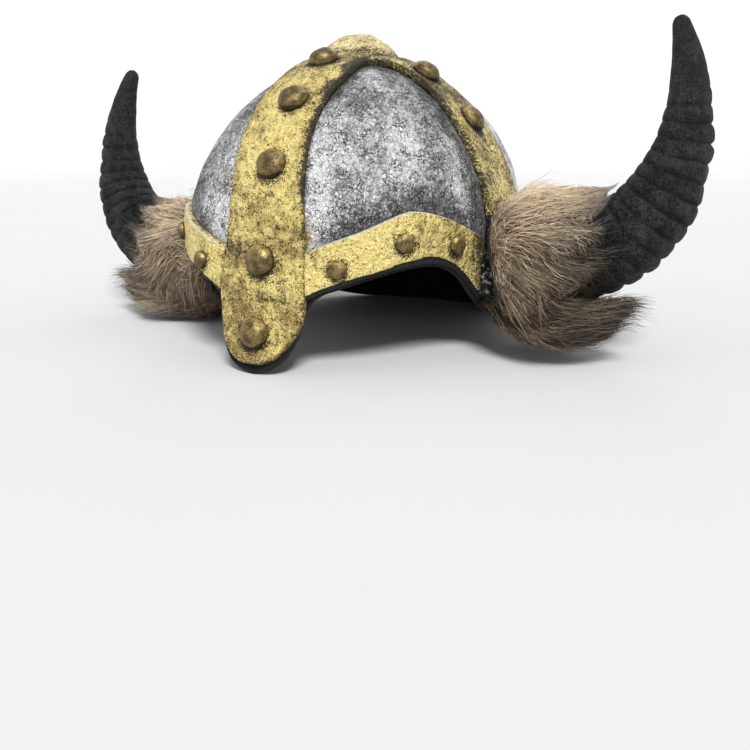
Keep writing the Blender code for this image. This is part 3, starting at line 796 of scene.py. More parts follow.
def side_wear(points, edge):
    """The gold wears off towards the fur, where the side band is black with silver flecks."""
    z = points[..., 2]
    black = ramp(z + 4 * noise(points, 9, 71), 14, -2)
    broken = ramp(noise(points, 2.4, 73) + 0.5 * noise(points, 9, 74), -0.1, 0.3)
    line = 0.6 * bell(edge, 0.35, 0.4) * (points[..., 1] < 0) * broken * ramp(z, 84, 72)
    worn = 0.45 + 0.3 * ramp(z, 60, 90)
    return np.zeros_like(z), {"black": black, "worn": worn, "pale": line * (1 - black)}


def make_side_band(word, side, material):
    """A side band, up the wall by height, then by elevation and over the crown by x."""
    crossing = CROSSING_HALF_BAND + GAP
    down = np.arange(-51.0, -0.5, MESH_STEP)
    elevation = np.radians(np.arange(0.0, 57.0, SIDE_CLIMB))
    inward = np.linspace(0, 1, 28)[1:]

    def place(y, k):
        if k < len(down):
            return cast(stack(0.0, y, down[k]), stack(1.0, 0.0, 0.0))
        k -= len(down)
        if k < len(elevation):
            angle = elevation[k]
            return cast(stack(0.0, y, 0.0), stack(np.cos(angle), 0.0, np.sin(angle)))
        start = place(y, len(down) + len(elevation) - 1)[..., 0]
        x = start + (crossing - start) * inward[k - len(elevation)]
        return on_crown(x, y)

    count = len(down) + len(elevation) + len(inward)
    reach = np.array([place(np.zeros(1), k)[0, 0] for k in range(count)])
    half = read_smooth(SIDE_EDGES, reach)
    across, edge = across_band(-half, half)
    on_shell = np.array([place(across[k], k) for k in range(count)])
    name = f"side_strip_{word}"
    return make_band(name, f"side_band_{word}", on_shell, edge, side, BAND, material, 70, side_wear)


def rim_band_grid(table, first_edge, last_edge):
    """Points of the shell under a band that runs along the rim between two others."""
    angle = np.array([row[0] for row in table], float)
    path = np.linspace(angle[0], angle[-1], int((angle[-1] - angle[0]) * 1.75 / MESH_STEP))
    heights, edge = across_band(read_smooth(table, path, 1), read_smooth(table, path, 2))
    first = edge_angles(first_edge(heights)) - angle[0]
    last = edge_angles(last_edge(heights)) - angle[-1]
    share = ((path - angle[0]) / (angle[-1] - angle[0]))[:, None]
    degrees = path[:, None] + first * (1 - share) ** 4 + last * share**4
    return at_angle(degrees, heights), edge


def brow_wear(points, _edge):
    """A dark bevel along the lower edge, a pale line along the upper one, a dark end, and a painted
    highlight over the band's middle.
    """
    angle = edge_angles(points)
    z = points[..., 2]
    low, high = read_smooth(BROW, angle, 1), read_smooth(BROW, angle, 2)
    deep = 1.6 + 1.9 * bell(angle, 47, 9) + 0.5 * noise(points, 6, 83)
    bevel = ramp(z - low - deep, 1.2, 0)
    line = bell(high - z, 0.45, 0.7) * (angle < BROW_END)
    line = line * ramp(noise(points, 7, 85), -0.75, -0.25)
    end = ramp(angle + 0.8 * noise(points, 5, 84), 70.5, 73.5)
    # painted highlight over the middle of the brow band
    painted_light = 1.3 * bell(angle, 32, 18)
    worn = 0.95 * ramp(angle + 3 * noise(points, 6, 86), 60, 69)
    paints = {"black": np.maximum(bevel, end), "pale": line * (1 - end), "painted_light": painted_light, "worn": worn}
    return -1.3 * bevel, paints


def make_brow_band(word, side, material):
    """A brow band, between the front band's edge and the side band's."""

    def front_edge(heights):
        return on_front(read_smooth(FRONT_EDGES, heights, 2 if side > 0 else 1) + GAP, heights)

    def side_edge(heights):
        return cast(stack(0.0, -SIDE_HALF_BAND - GAP, heights), stack(1.0, 0.0, 0.0))

    on_shell, edge = rim_band_grid(BROW, front_edge, side_edge)
    names = f"brow_strip_{word}", f"brow_band_{word}"
    return make_band(*names, on_shell, edge, side, THIN_BAND, material, 80, brow_wear, False)


def make_rear_band(word, side, material):
    """A rear band, between the side band's edge and the back band's."""

    def side_edge(heights):
        return cast(stack(0.0, SIDE_HALF_BAND + GAP, heights), stack(1.0, 0.0, 0.0))

    def back_edge(heights):
        return on_front(BACK_HALF_BAND + GAP, heights, 1.0)

    on_shell, edge = rim_band_grid(REAR, side_edge, back_edge)
    names = f"rear_strip_{word}", f"rear_band_{word}"
    return make_band(*names, on_shell, edge, side, THIN_BAND, material, 90, None, False)


# --- rivets and boss ---

RIVET_SIDES = 26
RIVET_RINGS = 14


def away_from(out):
    """Two directions square to out."""
    across = np.cross(out, (0, 0, 1.0) if abs(out[2]) < 0.9 else (0, 1.0, 0))
    across /= np.linalg.norm(across)
    return across, np.cross(out, across)


def make_rivet(number, name, seat, band, radius, height, material):
    """A lumpy round head, painted dark below as shade and pale above as a highlight, and dark round the
    foot.
    """
    out = normals(seat)
    across, along = away_from(out)
    base = seat + out * (band + SEAT + 0.1)
    turn = np.linspace(0, 2 * np.pi, RIVET_SIDES, endpoint=False)
    slope = np.linspace(0, np.pi / 2, RIVET_RINGS)[1:]
    circle = np.outer(np.cos(turn), across) + np.outer(np.sin(turn), along)
    out_share = np.append(np.sin(slope) ** 0.9, 1.0)
    up_share = np.append(0.12 + 0.88 * np.cos(slope) ** 0.95, 0.0)
    rings = base + circle * (radius * out_share)[:, None, None]
    rings = rings + out * (height * up_share)[:, None, None]
    centre = base + out * height * 0.3
    ways = (rings - centre) / np.linalg.norm(rings - centre, axis=-1, keepdims=True)
    lumps = 0.4 * noise(rings, 5.0, 100 + number) + 0.16 * noise(rings, 2.2, 200 + number)
    lumps = lumps * (up_share > 0)[:, None] - 0.2
    rings = rings + ways * lumps[..., None]
    # low is painted shade under the head, high a painted highlight on its upper side
    low = ramp(-ways[..., 2], 0.15, 0.75) * ramp(up_share, 0.8, 0.3)[:, None]
    foot = np.broadcast_to(0.8 * ramp(up_share, 0.3, 0.05)[:, None], low.shape)
    high = ramp(ways[..., 2], 0.1, 0.6) * ramp(up_share, 0.95, 0.55)[:, None]
    paints = {
        "foot": with_ends(np.maximum(foot, low), 0, 1),
        "high": with_ends(high * (1 - foot), 0.3, 0),
    }
    made = closed_loft(f"{name}_head", rings, base + out * (height - 0.2), base, paints)
    return fit_out(made, material, "dark_gold_paint", name)


def make_boss(material):
    """The uneven mound over the crossing of the bands."""
    turn = np.linspace(0, 2 * np.pi, 84, endpoint=False)
    foot = BAND + SEAT

    def ring(radius, up):
        x = radius * np.cos(turn)
        y = CROWN_SHIFT + radius * np.sin(turn)
        return lifted(on_crown(x, y), np.full_like(x, up))

    shares = np.linspace(0, 1, 35)[1:]
    heights = foot + 0.3 + BOSS_HEIGHT * (1 - shares**2) ** BOSS_POWER
    rings = [ring(BOSS_RADIUS * share, up) for share, up in zip(shares, heights)]
    rings = np.array(rings + [ring(BOSS_RADIUS, foot - 0.6), ring(BOSS_RADIUS * 0.5, foot - 0.6)])
    share = np.append(shares, (1, 1))[:, None]
    lumps = 1.3 * noise(rings, 13, 300) + 0.8 * noise(rings, 6, 301) + 0.3 * noise(rings, 2.8, 302)
    lumps = (lumps - 0.4) * (1 - share**8)
    rings[..., 2] += lumps
    top = on_crown(0.0, CROWN_SHIFT) + (0, 0, foot + BOSS_HEIGHT - 0.1)
    end = on_crown(0.0, CROWN_SHIFT) + (0, 0, foot)
    foot_paint = np.broadcast_to(ramp(share, 0.8, 1), rings.shape[:2])
    made = closed_loft("boss_mound", rings, top, end, {"foot": with_ends(foot_paint, 0, 1)})
    return fit_out(made, material, "gold_paint", "crown_boss")


# --- horns ---

HORN_SIDES = 64
HORN_ROWS = 285
TIP_SHARE = 0.025  # of the length, for the rounded tip
ROOT_ROWS = 30  # kept off the helmet's side


def root_reach(y, z):
    """How far out a piece that sits on the side of the helmet starts, at y and z."""
    return cast(stack(0.0, y, z), stack(1.0, 0.0, 0.0))[..., 0] + BAND + SEAT + 2 * GAP


def horn_line(share, lift):
    """Centre points, directions and radii of the wearer's left horn at shares of its length."""
    fine = np.linspace(0, 1, 201)
    heading = np.radians(read_table(HORN, fine, 1))
    yaw = np.radians(np.interp(fine, (0, 1), HORN_YAW))
    way = np.stack([np.cos(heading) * np.cos(yaw), np.sin(yaw), np.sin(heading) * np.cos(yaw)], -1)
    steps = (way[1:] + way[:-1]) / 2 * HORN_LENGTH / (len(fine) - 1)
    line = np.concatenate([np.zeros((1, 3)), np.cumsum(steps, axis=0)])
    line += (HALF_WIDTH, *HORN_ROOT)
    line[:, 2] += lift * ramp(fine, 0, LIFT_OVER)
    way = np.gradient(line, axis=0)
    way /= np.linalg.norm(way, axis=1, keepdims=True)
    centre = np.stack([np.interp(share, fine, line[:, k]) for k in range(3)], -1)
    along = np.stack([np.interp(share, fine, way[:, k]) for k in range(3)], -1)
    along /= np.linalg.norm(along, axis=-1, keepdims=True)
    return centre, along, read_smooth(HORN, share, 2)


def round_horn(share, turn, out, lift):
    """Points round the horn's line, out millimetres proud of its surface. turn is 0 on top and
    grows towards the front."""
    share, turn, out = np.broadcast_arrays(share, turn, out)
    centre, along, radius = horn_line(share, lift)
    front = along * along[..., 1:2] - (0, 1.0, 0)
    front /= np.linalg.norm(front, axis=-1, keepdims=True)
    up = np.cross(front, along)
    way = np.cos(turn)[..., None] * up + np.sin(turn)[..., None] * front
    return centre + way * (radius + out)[..., None]


def ring_swell(share, turn, seed):
    """How far the horn's rings stand out, and the painted shade: near the groove between two, and
    towards each ring's root.
    """
    count = share * HORN_RIDGES / RIDGED_SHARE
    spot = stack(np.cos(turn) * 3, np.sin(turn) * 3, count)
    phase = count + 0.16 * noise(spot, 3.1, seed) + 0.05 * noise(spot, 1.2, seed + 1)
    within = phase - np.floor(phase)
    bulge = 1 - np.abs(2 * within - 1) ** 3.5
    fade = ramp(share, 0.9, 0.64)
    depth = np.clip(0.75 + 0.5 * noise(spot, 1.6, seed + 2), 0.2, 1.2) * (0.8 - 0.3 * np.cos(turn))
    groove = ramp(bulge, 0.75, 0) * np.clip(depth * 1.4, 0, 1)
    shade = 0.35 * ramp(within, 0.5, 0)  # each ring is darker towards the root
    return (2.1 * bulge * depth - 1.1) * fade, np.maximum(groove, shade) * fade


def make_horn(word, side, material):
    """The curved horn, ringed over its lower part and lumpy above."""
    turn = np.linspace(0, 2 * np.pi, HORN_SIDES, endpoint=False)
    cap = 1 - TIP_SHARE * np.cos(np.linspace(0, np.pi / 2, 9))[1:-1]
    share = np.concatenate([np.linspace(0, 1 - TIP_SHARE, HORN_ROWS), cap])[:, None] + 0 * turn
    swell, groove = ring_swell(share, turn[None], 400 + side)
    end = np.clip((share - (1 - TIP_SHARE)) / TIP_SHARE, 0, 1)
    radius = read_smooth(HORN, share, 2)
    swell = swell - radius * (1 - np.sqrt(1 - end**2)) * 0.94
    rings = round_horn(share, turn[None], swell, HORN_LIFT * side)
    lumps = 0.45 * noise(rings, 12, 410 + side) + 0.28 * noise(rings, 5, 412 + side)
    slim = np.clip(radius / 12, 0.4, 1) * (1 - end)
    rings = round_horn(share, turn[None], swell + lumps * slim, HORN_LIFT * side)
    reach = root_reach(rings[:ROOT_ROWS, :, 1], rings[:ROOT_ROWS, :, 2])
    rings[:ROOT_ROWS, :, 0] = np.maximum(rings[:ROOT_ROWS, :, 0], reach)
    rings[0, :, 0] = reach[0]
    foot = rings[0].mean(axis=0)
    tip = horn_line(np.array([1.0]), HORN_LIFT * side)[0][0]
    ends = mirrored(np.array([foot, tip]), side)
    paints = {
        "groove": with_ends(groove, 0, 0),
        "upper": with_ends(ramp(share, 0.3, 0.9), 0, 1),
        "root": with_ends(ramp(share, 0.09, 0.04), 1, 0),
    }
    made = closed_loft(f"ridged_horn_{word}", mirrored(rings, side), ends[0], ends[1], paints)
    return fit_out(made, material, "black_latex", f"horn_{word}")


# --- fur ---


def round_mix(turn, top, front, below, behind):
    """Blends four values round the horn."""
    values = np.stack(np.broadcast_arrays(top, front, below, behind), -1)
    waves = np.stack((np.cos(turn), np.sin(turn), -np.cos(turn), -np.sin(turn)), -1)
    return (values * np.clip(waves, 0, 1) ** 2).sum(-1)


def lock_wave(turn):
    """1 along the middle of each lock and 0 in the notch between two."""
    return np.abs(np.cos(turn * LOCKS / 2))


def keep_off_floor(points):
    """Presses up what hangs low."""
    low = np.minimum(points[..., 2] - HANG_FROM, 0)
    points[..., 2] = np.maximum(points[..., 2] - low * (1 - HANG_SHARE), 1.2 - DROP)
    return points


def in_sleeve(turn, share, depth, side):
    """A place in the fur round the horn: share runs from the root to the locks' points, and
    depth from the horn out to the fur's surface."""
    wave = lock_wave(turn)
    start = BARE_ROOT[side] / HORN_LENGTH * np.clip(np.sin(turn), 0, 1)
    length = round_mix(turn, *LOCK_REACH) + LOCK_JAG * (wave - 0.5) - start
    part = np.clip(share, 0, 1)
    thick = round_mix(turn, *[read_smooth(FUR, part, k) for k in (1, 2, 3, 4)])
    ridged = ramp(part, 0.15, 0.3) * ramp(part, 1.05, 0.85)
    thick = thick + LOCK_RIDGE * (wave - 0.6) * ridged
    out = RIDGE_DEPTH + FUR_GAP + (np.maximum(thick, 1.2) - FUR_GAP) * depth
    found = round_horn(start + length * share, turn, out, HORN_LIFT * side)
    found[..., 0] = np.maximum(found[..., 0], root_reach(found[..., 1], found[..., 2]) + 0.2)
    return found


def in_tuft(turn, reach, depth, side):
    """A place in the tuft below the horn: reach is its distance out from the helmet's middle."""
    table = [read_smooth(LOWER_TUFT, reach, k) for k in (1, 2, 3, 4)]
    ridge = 1 + TUFT_RIDGE * np.cos(turn * TUFT_SIDES / 2)
    y = table[0] + np.sin(turn) * table[2] * ridge * depth
    z = table[1] + np.cos(turn) * table[3] * ridge * depth + HORN_LIFT * side * 0.5
    return stack(reach, y, z)


def make_underfur(word, side, material):
    """The matted underside of the fur, which the strands cover: one piece round the horn and one
    in the tuft."""
    node = f"fur_collar_{word}"
    turn = np.linspace(0, 2 * np.pi, 90, endpoint=False)[None]
    share = np.linspace(0.0, 0.92, 22)[:, None]
    outer = in_sleeve(turn, share[::-1], 0.72 + 0 * share, side)
    inner = in_sleeve(turn, share, 0.0 * share, side)
    rings = keep_off_floor(mirrored(np.concatenate([outer, inner]), side))
    sleeve = closed_tube(f"underfur_{word}", rings)
    fit_out(sleeve, material, "brown_fur", node)
    turn = np.linspace(0, 2 * np.pi, 60, endpoint=False)[None]
    round_end = np.sin(np.linspace(0, 1, 34)[:, None] * np.pi / 2)
    rings = in_tuft(turn, 107 + 70 * round_end, 0.78 * np.sqrt(1.001 - round_end**6), side)
    rings = keep_off_floor(mirrored(rings, side))
    tuft = closed_loft(f"undertuft_{word}", rings, rings[0].mean(axis=0), rings[-1].mean(axis=0))
    fit_out(tuft, material, "brown_fur", node)


# On the wearer's left, 1, and right, -1
SWEEP = {1: 0.8, -1: 1.15}  # how far the strands turn down
DIMMER = {1: 0.29, -1: 0.15}  # how much darker than full they are: the fur's own tone, and painted shade where the two sides differ
TOP_LIGHT = {1: 1.12, -1: 0.88}  # how much lighter they are on top than below: painted light, and partly the fur's own colour
TOP_POWER = {1: 1.6, -1: 1.0}  # higher keeps the light nearer the top
# the tone added to the tuft on each side; the difference between the sides is painted light
TUFT_LIGHT = {1: 0.09, -1: 0.36}
BRIDGE_REACH = {1: 168.0, -1: 185.0}  # how far out the strands between sleeve and tuft end
BRIDGE_TONE = {1: 0.3, -1: 0.65}

STRAND_STEPS = (0.0, 0.38, 0.72, 1.0)  # shares of a strand's length at its rings and its tip
STRAND_TAPER = (0.8, 1.0, 0.7)
STRAND_POINTS = 10  # three rings of three and the tip
STRAND_WIDTHS = (0.3, 0.56)
STRAND_PIECES = 2  # for each collar
SLEEVE_STRANDS = 5700  # for each piece, as the next three
FRINGE_STRANDS = 800
TUFT_STRANDS = 2500
BRIDGE_STRANDS = 500
CLUMP = 15  # strands in one
THIN_SHARE = 0.09  # of the strands, which stand past the locks' points
STRAY_SHARE = 0.1
STRAY_TUFT_SHARE = 0.2
RUFFLED_SHARE = 0.12


def make_strands(name, lines, width, tone, tip, material, node):
    """Tapered three-sided strands. lines holds four points a strand, and width, tone and tip
    a number a strand."""
    count = len(lines)
    way = np.gradient(lines, axis=1)[:, :3]
    way /= np.linalg.norm(way, axis=-1, keepdims=True)
    across = np.cross(way, (0.3, 0.5, 0.8))
    across /= np.linalg.norm(across, axis=-1, keepdims=True)
    other = np.cross(way, across)
    turn = np.radians((90, 210, 330))[None, None, :, None]
    ring = np.cos(turn) * across[:, :, None] + np.sin(turn) * other[:, :, None]
    half = (width[:, None] / 2 * np.array(STRAND_TAPER))[..., None, None]
    rings = lines[:, :3, None] + ring * half
    points = np.concatenate([rings.reshape(count, 9, 3), lines[:, 3:]], axis=1).reshape(-1, 3)
    first = STRAND_POINTS * np.arange(count)[:, None, None]
    sides = [(k, (k + 1) % 3, 3 + (k + 1) % 3, 3 + k) for k in range(3)]
    quads = np.concatenate([np.array(sides), np.array(sides) + 3])[None] + first
    ends = np.array([(6, 7, 9), (7, 8, 9), (8, 6, 9), (2, 1, 0)])[None] + first
    paints = {
        "along": np.tile(np.repeat(STRAND_STEPS, (3, 3, 3, 1)), count),
        "tone": np.repeat(tone, STRAND_POINTS),
        "tip": np.repeat(tip, STRAND_POINTS),
    }
    made = add_mesh(name, points, [quads.reshape(-1, 4), ends.reshape(-1, 3)], paints)
    return fit_out(made, material, "brown_fur", node)


def clumped(values, clump, centres, pull):
    """Draws each strand's values towards its clump's."""
    return values + (centres[clump] - values) * pull


def laid(lines, side):
    """The strands' points, step by step, as lines on their own side of the helmet."""
    return keep_off_floor(mirrored(np.stack(lines, 1), side))


def sleeve_strands(rng, count, side):
    """Strands that lie outwards along the horn, in clumps that close towards their tips. In
    front and behind they sweep down, and on top they follow the horn."""
    clumps = count // CLUMP
    clump_turn = rng.uniform(0, 2 * np.pi, clumps)
    clump_start = rng.uniform(-0.12, 0.84, clumps)
    clump_spot = stack(np.cos(clump_turn) * 2, np.sin(clump_turn) * 2, clump_start * 4)
    clump_bend = 0.3 * noise(clump_spot, 1.1, 500 + side) + rng.normal(0, 0.09, clumps)
    clump_tone = rng.uniform(0, 1, clumps)
    ruffled = rng.uniform(0, 1, clumps) < RUFFLED_SHARE
    clump_rise = np.where(ruffled, rng.uniform(1.08, 1.3, clumps), rng.uniform(0.7, 1.0, clumps))
    clump = rng.integers(0, clumps, count)
    stray = rng.uniform(0, 1, count) < STRAY_SHARE
    thin = rng.uniform(0, 1, count) < THIN_SHARE
    turn = clump_turn[clump] + rng.normal(0, 0.08, count)
    top = np.cos(turn)
    start = np.clip(clump_start[clump] + rng.normal(0, 0.04, count), 0, 0.9)
    start = np.where(thin, rng.uniform(0.6, 0.95, count), start)
    length = rng.uniform(0.3, 0.6, count) * (1 - 0.25 * start) + thin * rng.uniform(-0.1, 0.15, count)
    beyond = thin * (top < 0.6) * rng.uniform(0, 0.3, count)
    end = rng.uniform(1.0, 1.2, count) + beyond - 0.13 * ramp(top, 0.6, 0.9)
    length = np.minimum(length + beyond, end - start)
    droop = SWEEP[side] * np.sin(turn) * ramp(top, 1.3, -0.3)
    droop = droop * (0.35 + 0.65 * ramp(top, -0.75, -0.15))
    bend = clump_bend[clump] + droop + rng.normal(0, np.where(stray, 0.3, 0.05))
    rise = clump_rise[clump] + rng.normal(0, 0.05, count)
    rise = rise + np.where(stray, rng.uniform(0, 0.4, count), 0)
    wave = rng.uniform(0, 2 * np.pi, count)
    lines = []
    for step in STRAND_STEPS:
        pull = np.where(stray, 0.1, 0.75) * step
        turned = clumped(turn, clump, clump_turn, pull) + bend * step**1.3
        turned = turned + 0.025 * (np.sin(wave + 4.5 * step) - np.sin(wave))
        spread = 0.4 + (rise - 0.4) * ease(step * 1.5 + 0.1)
        lines.append(in_sleeve(turned, start + length * step, spread, side))
    # painted light: lighter towards the top of the collar, and darker by side
    light = TOP_LIGHT[side] * (0.5 + 0.5 * top) ** TOP_POWER[side] - DIMMER[side]
    tone = 0.6 * clump_tone[clump] + rng.uniform(-0.1, 0.2, count) + light
    tip = np.clip((start + length - 0.8) * 4, 0, 1)
    return laid(lines, side), np.clip(np.where(thin, tone - 0.45, tone), 0, 1), np.where(thin, 1, tip)


def fringe_strands(rng, count, side):
    """Short ruffled strands where the collar meets the helmet."""
    turn = rng.uniform(0, 2 * np.pi, count)
    start = rng.uniform(0, 0.12, count)
    length = rng.uniform(0.1, 0.24, count)
    bend = rng.normal(0, 0.3, count)
    rise = rng.uniform(0.85, 1.2, count)
    lines = []
    for step in STRAND_STEPS:
        spread = 0.6 + (rise - 0.6) * ease(step * 1.4)
        lines.append(in_sleeve(turn + bend * step, start + length * step, spread, side))
    return laid(lines, side), rng.uniform(0.3, 1, count), np.zeros(count)


def tuft_strands(rng, count, side):
    """Strands of the tuft below the horn, whose dark points run together in wisps."""
    clumps = count // CLUMP
    clump_turn = rng.uniform(0, 2 * np.pi, clumps)
    clump_start = rng.uniform(96, 172, clumps)
    clump_bend = rng.normal(0, 0.25, clumps)
    clump_tone = rng.uniform(0, 1, clumps)
    clump_reach = rng.normal(0, 4, clumps)
    clump_hang = rng.uniform(0, 5, clumps)
    clump = rng.integers(0, clumps, count)
    stray = rng.uniform(0, 1, count) < STRAY_TUFT_SHARE
    turn = clump_turn[clump] + rng.normal(0, 0.14, count)
    start = clump_start[clump] + rng.normal(0, 3, count)
    limit = 185 + 9 * np.cos(turn) + clump_reach[clump] + rng.normal(0, 2, count)
    limit = limit + stray * rng.uniform(0, 20, count)
    length = np.minimum(rng.uniform(20, 38, count), np.maximum(limit - start, 8))
    bend = clump_bend[clump] + rng.normal(0, np.where(stray, 0.5, 0.07))
    hang = clump_hang[clump] * ramp(start + length, 150, 185)
    hang = hang + np.where(stray, rng.uniform(0, 6, count), 0)
    core = rng.uniform(0, 0.8, count)
    lines = []
    for step in STRAND_STEPS:
        turned = clumped(turn, clump, clump_turn, 0.75 * step) + bend * step**1.3
        reach = start + length * step
        held = np.clip(reach, 106, 184)
        depth = 0.7 + 0.32 * ease(step * 1.6 + 0.1) + stray * 0.3 * step**2
        depth = depth * (1 - core * ramp(reach, 148, 180))
        place = in_tuft(turned, held, depth, side)
        lines.append(place + stack(reach - held, 0.0, 0.1 * (reach - held) - hang * step**2))
    # painted light: lighter on top of the tuft, and by side through TUFT_LIGHT
    tone = 0.45 * clump_tone[clump] + rng.uniform(-0.2, 0.2, count) + 0.1 * np.cos(turn)
    tip = np.clip((start + length - 150) / 30, 0.3, 1)
    return laid(lines, side), np.clip(tone + TUFT_LIGHT[side], 0, 1), tip


def bridge_strands(rng, count, side):
    """Strands that run from the sleeve's lower front across to the tuft."""
    clumps = count // 12
    clump = rng.integers(0, clumps, count)
    pull = rng.uniform(0, 1, (clumps, 4))[clump] * 0.75 + rng.uniform(0, 1, (count, 4)) * 0.25
    start = in_sleeve(1.75 + 0.85 * pull[:, 0], 0.1 + 0.5 * pull[:, 1], 0.8 + 0 * pull[:, 0], side)
    end_turn, reach = -1.25 + 1.3 * pull[:, 2], BRIDGE_REACH[side] - 26 * pull[:, 3]
    end = in_tuft(end_turn, reach, rng.uniform(0.95, 1.1, count), side)
    lines = []
    for step in STRAND_STEPS:
        share = stack(step, step, step**1.5)
        lines.append(start + (end - start) * share + stack(0.0, -3 * np.sin(np.pi * step), 0.0))
    tone = BRIDGE_TONE[side] + rng.uniform(-0.25, 0.25, clumps)[clump] + rng.uniform(-0.1, 0.1, count)
    return laid(lines, side), np.clip(tone, 0, 1), 0.2 + 0.6 * pull[:, 3]


def make_fur(word, side, material, under_material):
    """A collar's matted underside and its strands."""
    make_underfur(word, side, under_material)
    rng = np.random.default_rng(7 + side)
    for k in range(STRAND_PIECES):
        groups = [sleeve_strands(rng, SLEEVE_STRANDS, side), fringe_strands(rng, FRINGE_STRANDS, side)]
        groups += [tuft_strands(rng, TUFT_STRANDS, side), bridge_strands(rng, BRIDGE_STRANDS, side)]
        lines, tone, tip = [np.concatenate(parts) for parts in zip(*groups)]
        width = rng.uniform(*STRAND_WIDTHS, len(lines)) * (1 - 0.35 * tip)
        name = f"fur_strands_{word}_{k + 1}"
        make_strands(name, lines, width, tone, tip, material, f"fur_collar_{word}")


# --- materials ---


def srgb(red, green, blue):
    """A colour for a shader from the 0 to 255 values that a screen shows."""
    values = np.array((red, green, blue)) / 255
    linear = np.where(values <= 0.04045, values / 12.92, ((values + 0.055) / 1.055) ** 2.4)
    return (*[float(v) for v in linear], 1.0)


class Value:
    """A node's output that can be added to, multiplied, and taken from a number."""

    def __init__(self, paint, socket):
        self.paint, self.socket = paint, socket

    def __add__(self, other):
        return self.paint.math("ADD", self, other)

    def __mul__(self, other):
        return self.paint.math("MULTIPLY", self, other)

    def __rsub__(self, other):
        return self.paint.math("SUBTRACT", other, self)

    __rmul__ = __mul__


class Paint:
    """A material, with short ways to add nodes to it."""

    def __init__(self, name, roughness=0.5, metallic=0.0, specular=0.5):
        self.material = bpy.data.materials.new(name)
        self.material.use_nodes = True
        self.tree = self.material.node_tree
        self.shader = self.tree.nodes["Principled BSDF"]
        self.shader.inputs["Roughness"].default_value = roughness
        self.shader.inputs["Metallic"].default_value = metallic
        self.shader.inputs["Specular IOR Level"].default_value = specular
        self.place = Value(self, self.tree.nodes.new("ShaderNodeTexCoord").outputs["Object"])

    def node(self, kind, output, settings=None, **inputs):
        """Adds a node and gives one of its outputs. settings holds the node's own properties,
        and inputs its sockets by number, as _0, or by name with _ for a space."""
        made = self.tree.nodes.new("ShaderNode" + kind)
        for key, value in (settings or {}).items():
            setattr(made, key, value)
        for key, value in inputs.items():
            self.put(made.inputs[int(key[1:]) if key[0] == "_" else key.replace("_", " ")], value)
        return Value(self, made.outputs[output])

    def put(self, socket, value):
        if isinstance(value, Value):
            self.tree.links.new(value.socket, socket)
        else:
            socket.default_value = value

    def attribute(self, name):
        return self.node("Attribute", "Fac", {"attribute_name": name})

    def scaled_place(self, sizes, shift):
        scale = [1 / (size * MM) for size in sizes]
        return self.node("Mapping", "Vector", Vector=self.place, Scale=scale, Location=[shift] * 3)

    def noise(self, size, detail=3.0, roughness=0.55, stretch=(1.0, 1.0, 1.0), shift=0.0):
        """Noise whose lumps are about size millimetres, longer where stretch is over 1."""
        place = self.scaled_place([size * s for s in stretch], shift)
        return self.node("TexNoise", "Fac", Scale=1.0, Detail=detail, Roughness=roughness, Vector=place)

    def cells(self, size, warp=0.7, shift=0.0):
        """How far a point is from the borders of wrinkled cells of about size millimetres."""
        place = self.scaled_place([size] * 3, shift)
        bend = self.node("TexNoise", "Color", Scale=1.1, Vector=place)
        bend = self.node("VectorMath", "Vector", {"operation": "SCALE"}, _0=bend, Scale=2 * warp)
        place = self.node("VectorMath", "Vector", _0=place, _1=bend)
        settings = {"feature": "DISTANCE_TO_EDGE"}
        return self.node("TexVoronoi", "Distance", settings, Scale=1.0, Vector=place)

    def math(self, operation, first, second):
        return self.node("Math", 0, {"operation": operation}, _0=first, _1=second)

    def most(self, first, second):
        return self.math("MAXIMUM", first, second)

    def rise(self, value, low, high):
        """0 up to low, 1 from high, and an even curve between."""
        settings = {"interpolation_type": "SMOOTHSTEP"}
        return self.node("MapRange", "Result", settings, Value=value, From_Min=low, From_Max=high)

    def mix(self, share, first, second):
        return self.node("Mix", 2, {"data_type": "RGBA"}, _0=share, _6=first, _7=second)

    def colour(self, value):
        self.put(self.shader.inputs["Base Color"], value)

    def rough(self, share, low, high):
        found = self.node("MapRange", "Result", Value=share, To_Min=low, To_Max=high)
        self.put(self.shader.inputs["Roughness"], found)

    def bump(self, height, depth):
        """Relief from a 0 to 1 height, depth millimetres deep."""
        found = self.node("Bump", "Normal", Strength=1.0, Distance=depth * MM, Height=height)
        self.put(self.shader.inputs["Normal"], found)


